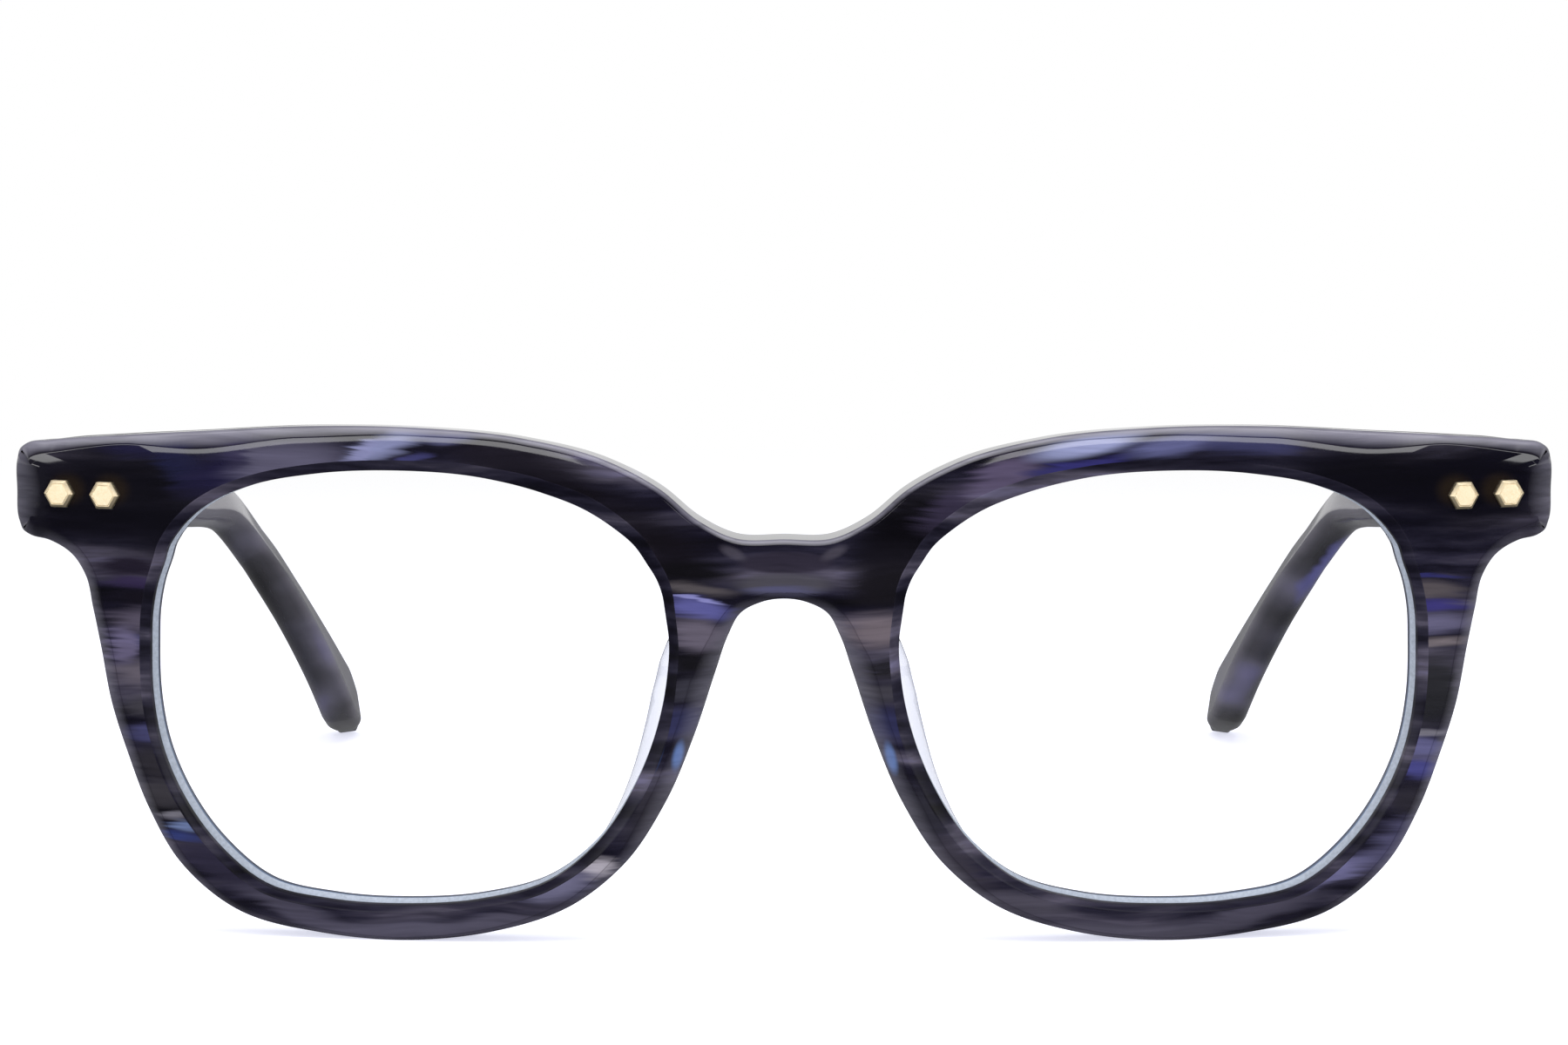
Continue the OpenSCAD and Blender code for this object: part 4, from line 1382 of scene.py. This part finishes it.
@dataclass
class Studs:
    """The four six-sided studs, with edges just broken by polishing."""

    front: FrontFrame
    finish: Finish
    head_h: float = 0.85
    chamfer: float = 0.28
    # Width and depth of the fine turned line between the facets and the face.
    line_w: float = 0.05
    line_d: float = 0.06
    broken: float = 0.03

    def build(self, side: Side, word: str) -> Piece:
        """Return one stud.

        Args:
            side: The side of the front.
            word: "outer" or "inner".

        Returns:
            The finished stud.
        """
        node = f"stud_{side.word}_{word}"
        work = bmesh.new()
        outer = self.front.stud_flats / math.cos(math.radians(30)) / 2
        face = outer - 1.1 * self.chamfer
        rows = [
            (outer, 0.0),
            (outer, self.head_h - self.chamfer),
            (face, self.head_h),
            (face - self.line_w, self.head_h - self.line_d),
            (face - 2 * self.line_w, self.head_h),
        ]
        turns = [math.radians(60 * k) for k in range(6)]
        rings = []
        for radius, up in rows:
            z = (up - self.front.stud_sink) * MM
            rings.append([work.verts.new((radius * MM * math.cos(a), radius * MM * math.sin(a), z)) for a in turns])
        for a, b in zip(rings, rings[1:]):
            for k in range(6):
                work.faces.new((a[k], a[(k + 1) % 6], b[(k + 1) % 6], b[k]))
        work.faces.new(rings[-1])
        work.faces.new(list(reversed(rings[0])))
        bmesh.ops.recalc_face_normals(work, faces=work.faces)
        work.transform(self.front.stud_place(side, word))
        piece = stand(f"gold_{node}", work)
        edge = piece.modifiers.new("broken edges", "BEVEL")
        edge.width, edge.segments, edge.limit_method = self.broken * MM, 2, "ANGLE"
        settle(piece)
        smooth(piece, angle=60)
        self.finish.dress(piece)
        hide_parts(node)
        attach(piece, Body.FRONT.value)
        return piece


@dataclass
class Temple:
    """One temple: a rounded, tapering bar of acetate that drops behind the ear to a broad tip."""

    finish: Finish
    hinge_z: float
    butt_y: float
    centre_x: float
    reach: float = 132.0
    height: float = 8.0
    thickness: float = 4.2
    tip_h: float = 9.0
    tip_z: float = 2.4
    tip_drop: float = 0.45
    corner: float = 1.2
    fine: int = 4
    arc_steps: int = 6
    tip_steps: int = 5
    # The last ring is left this share of a step open, which its cap closes.
    tip_open: float = 0.4
    # The butt end's edge is just broken, and stands this far off the seat.
    broken: float = 0.12
    butt_gap: float = 0.15
    # The hinge leaf's place behind the seat, its length, height and thickness, the play round it,
    # and how far its cutter reaches past the temple's inner face.
    leaf_in: float = 0.8
    leaf_long: float = 8.6
    leaf_high: float = 5.6
    leaf_thick: float = 0.92
    leaf_play: float = 0.04
    cut_past: float = 4.0

    def __post_init__(self) -> None:
        """Work out the rows of the centre line."""
        ear, h, t, z = self.hinge_z - 9.5, self.height, self.tip_h, self.hinge_z
        # Share of the reach, how far inwards, height of the middle, height of the section, and the
        # section's tilt and roll in degrees.
        rows = [
            (0, 0, z, h, 0, 0),
            (0.12, 0.35, z - 1, h, 3, 0),
            (0.3, 1.9, z - 3.6, h * 0.9, 6, 6),
            (0.48, 4.3, z - 7.1, h * 0.72, 9, 18),
            (0.58, 6.7, ear, h * 0.6, 16, 25),
            (0.665, 9.1, mix(ear, self.tip_z, 0.19), h * 0.62, 28, 27),
            (0.76, 11.5, mix(ear, self.tip_z, 0.425), h * 0.76, 33, 25),
            (0.86, 13.8, mix(ear, self.tip_z, 0.69), t * 0.84, 34, 19),
            (0.94, 15.1, mix(ear, self.tip_z, 0.885), t * 0.84, 34, 11),
            (1, 15.6, self.tip_z, t * 0.66, 34, 9),
        ]
        self.rows = [np.array(row, float) for row in rows]
        # The solid's rings from each row to the next.
        self.steps = [2, 4, 4, 5, 5, 5, 4, 3, 3]
        self.ends = len(rows) - 1
        self.knots = [np.array([self.centre_x - r[1], self.butt_y + r[0] * self.reach, r[2]]) for r in self.rows]

    def knot_slope(self, i: int) -> np.ndarray:
        """Return the slope of the centre line.

        Args:
            i: The row.

        Returns:
            The slope there.
        """
        if i in (0, self.ends):
            j = max(i, 1)
            d = self.knots[j] - self.knots[j - 1]
            return d / norm(d)
        return slope(self.knots[i - 1], self.knots[i], self.knots[i + 1])

    def ring(self, i: int, f: float) -> tuple[np.ndarray, np.ndarray, np.ndarray, float]:
        """Return a cut across the temple.

        Args:
            i: The row before it.
            f: Its share of the way to the next row.

        Returns:
            Its centre, its sideways and upwards directions and its height.
        """
        span = Span(self.knots[i], self.knots[i + 1], self.knot_slope(i), self.knot_slope(i + 1))
        d = span.heading(f)
        # The butt end stands square to the seat.
        turn = 0.0 if i == 0 and f == 0 else math.atan2(-d[0], d[1])
        row = mix(self.rows[i], self.rows[i + 1], f)
        tilt, roll = math.radians(row[4]), math.radians(row[5])
        side = np.array([math.cos(turn), math.sin(turn), 0])
        up = np.array([0, math.sin(tilt), math.cos(tilt)])
        across, along = side * math.cos(roll) - up * math.sin(roll), up * math.cos(roll) + side * math.sin(roll)
        return span.point(f), across, along, float(row[3])

    def rings(self, fine: int) -> list[tuple[np.ndarray, np.ndarray, np.ndarray, float]]:
        """Return the rings from the butt to the rounded tip.

        Args:
            fine: How many rings stand for each of the solid's.

        Returns:
            The rings, in order.
        """
        steps = [count * fine for count in self.steps[:-1]]
        made = [self.ring(i, s / count) for i, count in enumerate(steps) for s in range(count)]
        for s in range(self.tip_steps * fine + 1):
            a = math.radians(90 * s / fine / (self.tip_steps + self.tip_open))
            centre, side, up, h = self.ring(self.ends - 1, math.sin(a))
            made.append((centre - up * h * (1 - math.cos(a)) * self.tip_drop, side, up, h * math.cos(a)))
        return made

    def outline(self, h: float, steps: int) -> list[tuple[float, float]]:
        """Return the rounded section of a ring.

        Args:
            h: Its height.
            steps: How many steps round each corner.

        Returns:
            How far sideways and upwards of the ring's centre each point lies.
        """
        w = self.thickness * min(1.0, 0.45 + 0.55 * h / (self.tip_h * 0.6))
        r = min(self.corner, h * 0.42, w * 0.4)
        made = []
        for sx, sy, start in ((1, 1, 0), (-1, 1, 90), (-1, -1, 180), (1, -1, 270)):
            for k in range(steps + 1):
                a = math.radians(start + 90 * k / steps)
                made.append((sx * (w / 2 - r) + r * math.cos(a), sy * (h / 2 - r) + r * math.sin(a)))
        return made

    def build(self, side: Side) -> Piece:
        """Return the temple of one side.

        Args:
            side: The side to make.

        Returns:
            The finished temple.
        """
        coarse = np.array([c + s * x + u * y for c, s, u, h in self.rings(1) for x, y in self.outline(h, 2)])
        drop, far = coarse[:, 2].min(), coarse[:, 1].max()
        rings, points, inner = self.rings(self.fine), [], []
        for k, (centre, across, up, h) in enumerate([rings[0], *rings]):
            inset = self.broken if k == 0 else 0.0
            set_back = np.array([0, self.broken if k == 1 else 0.0, 0])
            for x, y in self.outline(h, self.arc_steps):
                over, rise = x - math.copysign(inset, x), y - math.copysign(inset, y)
                points.append(centre + set_back + across * over + up * rise)
                inner.append(0.5 - x / self.thickness)
        cloud = np.array(points)
        cloud[:, 2] -= drop * np.clip((cloud[:, 1] - self.butt_y) / (far - self.butt_y), 0, None)
        cloud = np.clip(cloud, *in_mm(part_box("temple_left"))) * np.array([side.value, 1, 1])
        faces = skin(len(rings) + 1, 4 * (self.arc_steps + 1), capped=True)
        # The inner face is painted paler as painted light, and the fourth power leaves that out of the upper and
        # lower edges.
        marks = {"inner": np.clip(np.array(inner), 0, 1) ** 4}
        piece = new_mesh(f"temple_acetate_{side.word}", cloud, faces, marks)
        carve(piece, self.pocket(side))
        smooth(piece, angle=35)
        self.finish.dress(piece)
        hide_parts(f"temple_{side.word}")
        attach(piece, Body.temple(side).value)
        return piece

    def pocket(self, side: Side) -> Piece:
        """Return the cutter of the pocket that holds the hinge's leaf.

        Args:
            side: The side of the temple.

        Returns:
            The closed cutter.
        """
        low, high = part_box(f"hinge_temple_leaf_{side.word}")
        start = self.butt_y - self.butt_gap + self.leaf_in
        across = self.centre_x - self.thickness / 2 - self.cut_past / 2 + self.leaf_thick / 2
        centre = Vector((side.value * across, start + self.leaf_long / 2, (low.z + high.z) / 2 / MM))
        long, high = self.leaf_long + self.leaf_play, self.leaf_high + self.leaf_play
        work = bmesh.new()
        block(work, centre * MM, Vector((self.cut_past + self.leaf_thick, long, high)) * MM)
        return stand("pocket", work)


@dataclass
class Fittings:
    """The hinges, their screws and the core wires: exact solids that keep their own meshes."""

    hinge: Finish
    screw: Finish
    wire: Finish

    def dress(self) -> None:
        """Give each fitting its metal."""
        for side in Side:
            for leaf in ("front", "temple"):
                self.one(f"hinge_{leaf}_leaf_{side.word}", self.hinge, "hinge")
            self.one(f"hinge_screw_{side.word}", self.screw, "screw")
            self.one(f"core_wire_{side.word}", self.wire, "core_wire")

    @staticmethod
    def one(node: str, finish: Finish, slot: str) -> None:
        """Dress one CAD node.

        Args:
            node: Its name.
            finish: What it gets.
            slot: Not used.
        """
        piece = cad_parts[node]
        finish.dress(piece)
        LOG.info("dressed %s", node)


# Studio

Place = tuple[float, float, float]


@dataclass
class Studio:
    """A white sweep, soft boxes and the camera at the photograph's place."""

    # In mm: how far the camera stands in front of the bridge and over the table, its lens and its film.
    distance: float = 500.0
    camera_up: float = 91.4
    focal: float = 125.2
    film: float = 36.0
    # How far it looks down, in degrees.
    pitch: float = 5.9
    # Radius of the floor, in metres.
    table: float = 3.0

    def camera(self, middle_y: float) -> None:
        """Stand the camera in front of the glasses.

        Args:
            middle_y: How far in front of the row frame's middle the bridge's face is, in mm.
        """
        data = bpy.data.cameras.new("camera")
        data.lens, data.sensor_width, data.clip_start, data.clip_end = self.focal, self.film, 0.01, 20.0
        made = bpy.data.objects.new("camera", data)
        made.location = (0.0, -(self.distance + middle_y) * MM, self.camera_up * MM)
        made.rotation_euler = (math.radians(90 - self.pitch), 0.0, 0.0)
        bpy.context.scene.collection.objects.link(made)
        bpy.context.scene.camera = made

    def floor(self) -> None:
        """Lay the floor, white to the camera except where the glasses shade it."""
        work = bmesh.new()
        bmesh.ops.create_circle(work, cap_ends=True, segments=96, radius=self.table)
        piece = stand("floor", work)
        made = bpy.data.materials.new("white sweep, matt paper")
        made.use_nodes = True
        tree = made.node_tree
        tree.nodes.clear()
        where = put(tree, "ShaderNodeTexCoord").outputs["Object"]
        far = put(tree, "ShaderNodeVectorMath", {0: where}, operation="LENGTH").outputs["Value"]
        span = {"From Min": 0.12, "From Max": 0.45, "To Min": 0.0, "To Max": 1.0}
        fade = put(tree, "ShaderNodeMapRange", {"Value": far, **span}, interpolation_type="SMOOTHSTEP")
        path = put(tree, "ShaderNodeLightPath")
        paper = put(tree, "ShaderNodeBsdfDiffuse", {"Color": linear("#e9e9ec")})
        lit = put(tree, "ShaderNodeEmission", {"Color": (0.55, 0.56, 0.66, 1.0), "Strength": 1.0})
        near = put(tree, "ShaderNodeAddShader", {0: paper.outputs[0], 1: lit.outputs[0]})
        white = put(tree, "ShaderNodeEmission", {"Color": (1.0, 1.0, 1.0, 1.0), "Strength": 1.0})
        seen = put(tree, "ShaderNodeMixShader", {0: fade.outputs[0], 1: near.outputs[0], 2: white.outputs[0]})
        # A dark flag lies on the floor in front of the glasses, out of the picture's eye but in the gloss.
        depth = put(tree, "ShaderNodeSeparateXYZ", {0: where}).outputs["Y"]
        span = {"From Min": -0.09, "From Max": -0.02, "To Min": 0.05, "To Max": 0.25}
        flagged = put(tree, "ShaderNodeMapRange", {"Value": depth, **span}, interpolation_type="SMOOTHSTEP")
        gloss = {"Color": (0.97, 0.98, 1.0, 1.0), "Strength": flagged.outputs[0]}
        mirrored = put(tree, "ShaderNodeEmission", gloss)
        # A ray through a nose pad counts as glossy too, so it is taken out.
        kinds = {0: path.outputs["Is Glossy Ray"], 1: path.outputs["Is Transmission Ray"]}
        bounced = put(tree, "ShaderNodeMath", kinds, operation="SUBTRACT", use_clamp=True)
        closures = {0: bounced.outputs[0], 1: seen.outputs[0], 2: mirrored.outputs[0]}
        seen_or_mirrored = put(tree, "ShaderNodeMixShader", closures)
        clear = self.either(tree, path, "Is Camera Ray", "Is Glossy Ray", "Is Transmission Ray")
        out = put(tree, "ShaderNodeMixShader", {0: clear, 1: paper.outputs[0], 2: seen_or_mirrored.outputs[0]})
        put(tree, "ShaderNodeOutputMaterial", {"Surface": out.outputs[0]})
        made.cycles.emission_sampling = "NONE"
        piece.data.materials.append(made)

    @staticmethod
    def either(tree: Tree, path: Node, *kinds: str) -> Socket:
        """Return 1 for light paths of any of the kinds named.

        Args:
            tree: The node tree.
            path: Its Light Path node.
            kinds: Names of the node's outputs.

        Returns:
            The socket of the answer.
        """
        socket = path.outputs[kinds[0]]
        for kind in kinds[1:]:
            socket = put(tree, "ShaderNodeMath", {0: socket, 1: path.outputs[kind]}, operation="MAXIMUM").outputs[0]
        return socket

    def world(self) -> None:
        """Fill the air: white behind for the eye, darker behind the camera, soft for the object."""
        world = bpy.data.worlds.new("studio")
        bpy.context.scene.world = world
        world.use_nodes = True
        tree = world.node_tree
        tree.nodes.clear()
        path = put(tree, "ShaderNodeLightPath")
        around = put(tree, "ShaderNodeTexCoord").outputs["Generated"]
        parts = put(tree, "ShaderNodeSeparateXYZ", {0: around})
        fades = {
            # The photographer's side of the studio is dark, which keeps the polished face deep.
            "dark": ("Y", -0.75, 0.1, 0.04, 1.0),
            # The soft box over the table stands in the gloss alone, where it draws the upper bevels.
            "above": ("Z", 0.78, 0.9, 0.0, 2.5),
            "before": ("Y", 0.1, -0.1, 0.0, 1.0),
            # The white sweep behind ends low, so the arms' upper edges mirror the dim ceiling.
            "low": ("Z", 0.15, 0.45, 1.0, 0.2),
        }
        at = {}
        for name, (axis, *span) in fades.items():
            inputs = dict(zip(("From Min", "From Max", "To Min", "To Max"), span), Value=parts.outputs[axis])
            at[name] = put(tree, "ShaderNodeMapRange", inputs, interpolation_type="SMOOTHSTEP").outputs[0]
        sweep = put(tree, "ShaderNodeMath", {0: at["dark"], 1: at["low"]}, operation="MULTIPLY").outputs[0]
        inputs = {0: at["above"], 1: at["before"], 2: sweep}
        strength = put(tree, "ShaderNodeMath", inputs, operation="MULTIPLY_ADD")
        room = put(tree, "ShaderNodeBackground", {"Color": (1, 1, 1, 1), "Strength": strength.outputs[0]})
        soft = put(tree, "ShaderNodeBackground", {"Color": (0.97, 0.98, 1.0, 1), "Strength": 0.3})
        white = put(tree, "ShaderNodeBackground", {"Color": (1, 1, 1, 1), "Strength": 1.0})
        closures = {0: path.outputs["Is Glossy Ray"], 1: soft.outputs[0], 2: room.outputs[0]}
        mirrored = put(tree, "ShaderNodeMixShader", closures)
        seen = self.either(tree, path, "Is Camera Ray", "Is Transmission Ray")
        out = put(tree, "ShaderNodeMixShader", {0: seen, 1: mirrored.outputs[0], 2: white.outputs[0]})
        put(tree, "ShaderNodeOutputWorld", {"Surface": out.outputs[0]})
        # Light is not aimed from a world that differs by the kind of ray.
        world.cycles.sampling_method = "NONE"

    def lamp(
        self, name: str, place: Place, aim: Place, size: tuple[float, float], radiance: float, mirrored: bool = False
    ) -> None:
        """Hang one soft box.

        Args:
            name: The lamp's name.
            place: Where it hangs, in metres.
            aim: What it faces, in metres.
            size: Its width and height, in metres.
            radiance: How bright its face is, where 1 is white.
            mirrored: Whether polished surfaces show its image.
        """
        data = bpy.data.lights.new(name, "AREA")
        data.shape, data.size, data.size_y = "RECTANGLE", size[0], size[1]
        data.energy = radiance * math.pi * size[0] * size[1]
        made = bpy.data.objects.new(name, data)
        made.location = place
        made.rotation_euler = (Vector(aim) - Vector(place)).to_track_quat("-Z", "Y").to_euler()
        # Only open air carries a lamp's image, so no bright specks come through the lenses.
        made.visible_transmission = False
        made.visible_glossy = mirrored
        bpy.context.scene.collection.objects.link(made)

    def lamps(self) -> None:
        """Hang the soft boxes: one overhead, one at each side, and one low beside the camera on each side."""
        self.lamp("overhead", (0, -0.25, 0.7), (0, -0.05, 0.02), (0.9, 0.6), 2.4)
        for word, x in (("left", -1), ("right", 1)):
            self.lamp(f"{word} side", (0.6 * x, -0.3, 0.4), (0, -0.05, 0.04), (0.4, 0.4), 2.0)
            self.lamp(f"{word} front", (0.5 * x, -0.68, 0.17), (0, -0.06, 0.04), (0.9, 0.24), 4.8, True)


# Clouds of pigment placed as in the picture, among them a few painted highlights and painted reflections: across, up,
# half length, half height, colour, strength, tilt and, where it is not the usual, fade.
STREAK_ROWS = (
    (-63.7, 42.0, 12.1, 7.0, "#07060d", 0.95, 0),
    (-55.2, 39.5, 7.7, 7.0, "#08070e", 0.85, 0),
    (63.7, 42.4, 12.1, 6.6, "#06050e", 0.95, 0),
    (52.8, 43.8, 11.3, 3.6, "#06050c", 0.95, 0),
    (-21.0, 42.8, 11.3, 4.1, "#0d0a10", 0.85, -20),
    (-11.3, 37.5, 6.5, 4.1, "#0f0c12", 0.85, -35),
    (12.1, 39.5, 7.7, 5.0, "#050408", 0.97, 35),
    (10.9, 35.0, 5.2, 3.1, "#100e15", 0.85, 0),
    (-58.1, 45.3, 3.5, 2.1, "#1d1f40", 0.5, -50),
    (-53.2, 43.7, 5.3, 2.5, "#1d1a38", 0.7, 10),
    (-46.4, 44.5, 7.4, 3.0, "#545165", 0.9, 6),
    (-51.5, 45.5, 2.4, 1.2, "#2a2640", 0.7, 30),
    # Painted highlights: the next two pale lavender streaks on the brow.
    (-36.9, 46.9, 4.5, 1.2, "#7f83a8", 0.85, 24, 0.95),
    (-39.1, 46.1, 2.4, 0.7, "#7f80a6", 0.7, 35),
    (-34.7, 45.7, 2.1, 0.7, "#3a3a66", 0.8, 20),
    (-31.5, 47.8, 4.0, 0.7, "#5f6086", 0.6, -4),
    (-26.6, 46.1, 5.6, 1.8, "#16131c", 0.85, -6),
    (-16.1, 39.5, 5.6, 1.2, "#2b2633", 0.6, -25),
    (-60.5, 46.1, 4.8, 1.2, "#1c1a3a", 0.6, 0),
    (-69.7, 42.8, 1.3, 5.0, "#15141b", 0.8, 0),
    (0.2, 36.2, 4.8, 1.1, "#2a2633", 0.92, 0, 0.3),
    (0.0, 34.2, 5.2, 1.2, "#45434b", 0.85, 0, 0.5),
    (0.0, 33.5, 4.4, 0.6, "#4c4c6c", 0.7, 0),
    (-4.7, 37.1, 1.5, 0.6, "#4b4752", 0.6, -25, 0.75),
    (4.6, 37.1, 1.5, 0.6, "#4b4752", 0.6, 25, 0.75),
    (-8.9, 35.3, 5.2, 1.2, "#0b0a0e", 0.92, -6),
    (-8.1, 33.8, 4.4, 0.6, "#4c474a", 0.9, -8),
    (-8.5, 32.2, 4.8, 1.1, "#53538a", 0.95, -8),
    (-8.5, 33.0, 4.4, 0.2, "#7f7fb4", 0.85, -8),
    (-8.9, 29.8, 4.4, 1.9, "#5c5664", 0.95, -4),
    (-9.3, 27.0, 3.9, 1.2, "#111014", 0.97, 0),
    (-8.9, 24.6, 3.9, 1.5, "#34333d", 0.9, 0),
    (-9.3, 21.3, 3.9, 1.8, "#2c2d4c", 0.9, 0),
    # Painted highlights: small blue glints on the nasal bevel and the lens-side wall.
    (-9.8, 18.0, 0.6, 1.7, "#5573ac", 0.9, -12, 0.75),
    (-11.6, 18.3, 0.4, 2.1, "#39507f", 0.8, -16, 0.75),
    (-11.9, 13.2, 4.4, 3.5, "#2c2a32", 0.85, 40),
    (-17.1, 7.6, 2.4, 1.2, "#a39ea8", 0.9, 10),
    (-21.0, 5.9, 4.5, 1.7, "#65637c", 0.9, 12),
    (9.7, 33.6, 4.8, 2.3, "#131116", 0.92, 0),
    (8.5, 30.0, 4.2, 1.8, "#645b62", 0.97, -2),
    (8.9, 26.6, 3.9, 1.5, "#1a191d", 0.96, 0),
    (9.0, 24.1, 3.9, 1.2, "#3b3941", 0.85, 0),
    (9.7, 20.9, 3.6, 2.1, "#2b2c4c", 0.9, 0),
    # Painted highlights: small blue glints on the nasal bevel and the lens-side wall.
    (9.9, 17.8, 0.6, 1.8, "#5573ac", 0.85, 14, 0.75),
    (11.8, 18.3, 0.4, 2.1, "#39507f", 0.8, 16, 0.75),
    (13.1, 12.4, 4.4, 3.5, "#2b2a33", 0.85, -40),
    (-61.3, 35.0, 5.2, 1.2, "#17121f", 0.92, 0),
    (-60.5, 33.6, 4.4, 0.7, "#2c2340", 0.85, 0),
    (-60.5, 32.0, 4.4, 1.1, "#110e17", 0.92, 0),
    (-60.5, 29.8, 4.4, 1.5, "#4c4655", 0.92, 0),
    (-60.5, 27.7, 4.4, 0.8, "#3f3d5a", 0.9, 0),
    (-62.8, 27.2, 1.9, 2.1, "#6a6380", 0.7, 0),
    (-59.7, 24.7, 4.4, 1.7, "#57515b", 0.92, 0),
    (-59.3, 21.8, 4.2, 1.3, "#3a383f", 0.92, 0),
    (-58.9, 19.3, 4.2, 1.1, "#3a3a5c", 0.92, 0),
    (-58.2, 16.3, 4.2, 2.0, "#29272d", 0.92, 0),
    (-57.7, 13.3, 4.2, 1.7, "#353338", 0.9, 0),
    (-56.2, 11.2, 1.9, 0.6, "#74727c", 0.7, 0, 0.95),
    (-55.5, 10.2, 1.9, 0.6, "#6c7ca6", 0.7, 0, 0.95),
    (-56.0, 9.2, 2.3, 0.6, "#33407c", 0.7, -6, 0.95),
    (-53.2, 6.6, 4.4, 2.0, "#282536", 0.88, -40),
    (-46.0, 2.8, 7.7, 1.3, "#454252", 0.85, -18),
    (-36.3, 1.0, 10.5, 1.2, "#524f60", 0.9, 0),
    (-26.6, 1.8, 6.0, 1.3, "#4c4959", 0.85, 10),
    (60.9, 34.3, 4.4, 0.2, "#292958", 0.9, 0),
    (60.5, 33.0, 4.4, 1.1, "#4e484c", 0.97, 0),
    (60.9, 31.5, 4.4, 0.8, "#332f66", 0.95, 0),
    (60.5, 29.7, 4.4, 1.2, "#595670", 0.95, 0),
    (60.5, 27.8, 4.2, 0.6, "#8a8084", 0.5, 0),
    (60.1, 23.1, 4.4, 4.6, "#242428", 0.97, 0),
    (59.7, 18.9, 4.0, 0.5, "#9c99a6", 0.45, 0),
    (59.4, 17.5, 4.0, 1.2, "#5b5a80", 0.92, 0),
    (59.0, 15.5, 4.0, 1.1, "#42427c", 0.85, 0),
    (58.2, 12.5, 4.0, 1.8, "#25232b", 0.92, 0),
    (56.5, 8.6, 4.4, 2.1, "#474560", 0.92, 40),
    (51.2, 5.8, 3.7, 1.2, "#67658a", 0.88, 25),
    (44.4, 2.5, 8.1, 1.3, "#454251", 0.85, 14),
    (32.3, 1.1, 10.5, 1.2, "#4a4755", 0.88, 0),
    (23.0, 3.8, 6.0, 1.5, "#474450", 0.85, -12),
    (16.9, 7.8, 4.4, 2.3, "#35323c", 0.85, -35),
    (14.9, 41.4, 4.4, 1.7, "#322c40", 0.8, 38),
    (20.6, 44.2, 4.4, 1.8, "#524962", 0.9, 22),
    # Painted highlight: the next pale lavender streak on the brow.
    (27.8, 46.8, 6.1, 1.1, "#868bb0", 0.95, 10, 0.7),
    (27.4, 45.2, 5.3, 0.8, "#2c2a60", 0.95, 12),
    (36.3, 46.9, 6.5, 1.2, "#585a82", 0.88, 2),
    (33.1, 44.4, 8.1, 0.8, "#100e18", 0.92, 5),
    (43.5, 46.6, 4.4, 1.1, "#36375a", 0.75, 0),
    # Painted reflections: a brownish glow of each gold stud, painted into the acetate round it.
    (-66.9, 42.2, 2.0, 1.7, "#261d12", 0.6, 0, 0.7),
    (-62.7, 42.2, 2.0, 1.7, "#261d12", 0.6, 0, 0.7),
    (62.5, 42.2, 2.0, 1.7, "#261d12", 0.6, 0, 0.7),
    (66.7, 42.2, 2.0, 1.7, "#261d12", 0.6, 0, 0.7),
)
FRONT_STREAKS = tuple(Streak(*row) for row in STREAK_ROWS)


def main() -> None:
    """Build and dress every sub-assembly in order, then set up the studio."""
    logging.basicConfig(level=logging.INFO, format="%(message)s")
    bpy.context.scene.view_settings.view_transform = "Standard"
    shape = FrontShape()
    LOG.info("shape of the front: %d spokes a half, shift %s", len(shape.spokes), shape.shift)
    halves = {
        side: MarbledAcetate(
            name=f"cellulose acetate, marbled, polished, {side.word} half of the front",
            streaks=tuple(s for s in FRONT_STREAKS if s.across * side.value > -s.length),
            # The first layer is a painted highlight on the outline's bevel, and the second a painted dark line of
            # shade along the crease.
            layers=(Layer("crown", "#84828f", 0.8), Layer("crease", "#14121b", 0.45)),
        )
        for side in Side
    }
    milled = MarbledAcetate(
        name="cellulose acetate, marbled, milled wall of the openings",
        roughness=0.35,
        specular=0.12,
        # On the milled wall: a paler grey that is partly the milled surface's own tone and partly painted light, a
        # pale blue painted glow of light from behind, and painted shade along the rear edge.
        layers=(Layer("wall", "#77767e", 0.9), Layer("lit", "#8fb0e0", 0.95), Layer("lip", "#35363e", 1.0)),
    )
    arm = MarbledAcetate(
        name="cellulose acetate, marbled, polished, temple",
        roughness=0.12,
        specular=0.25,
        ramp=((0.32, "#17161c"), (0.44, "#292830"), (0.53, "#3d3c48"), (0.62, "#545263"), (0.74, "#6a678c")),
        # Painted light: the inner face of the arm is painted paler.
        layers=(Layer("inner", "#85828e", 0.55),),
        shift=(3.0, 0.0, 7.0),
        grain=(7.0, 60.0, 8.0),
        line=(5.0, 80.0, 3.0),
        detail=1.0,
        streaks=(Streak(59.5, 25.0, 1.3, 5.5, "#5a5a98", 0.85, -25),),
    )
    front = FrontFrame(shape, halves[Side.LEFT], halves[Side.RIGHT], milled)
    LOG.info("built %s", front.build().name)
    coated = CoatedLens(name="clear acrylic, anti-reflection coated")
    lenses = Lenses(shape, coated, GroundEdge(name="clear acrylic, ground edge"))
    pads = NosePads(shape, CrystalAcetate(name="cellulose acetate, crystal, polished"))
    studs = Studs(front, PlatedBrass(name="brass, champagne-gold plated"))
    low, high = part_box("temple_left")
    for side in Side:
        LOG.info("built %s", lenses.build(side).name)
        LOG.info("built %s", pads.build(side).name)
        for word in ("outer", "inner"):
            LOG.info("built %s", studs.build(side, word).name)
        temple = Temple(arm, HINGE_Z, butt_y=low.y / MM, centre_x=high.x / MM - Temple.thickness / 2)
        LOG.info("built %s", temple.build(side).name)
    steel = BrushedSteel(name="nickel silver, milled and tumbled")
    screw = BrushedSteel(name="stainless steel, turned", colour="#9da1a8", roughness=0.2, mark=(2.0, 2.0, 0.06))
    wire = BrushedSteel(name="nickel silver wire, drawn", colour="#a8abb0", roughness=0.35, mark=(0.06, 3.0, 0.06))
    Fittings(steel, screw, wire).dress()
    studio = Studio()
    studio.camera(APEX_Y)
    studio.floor()
    studio.world()
    studio.lamps()


if __name__ == "__main__":
    main()
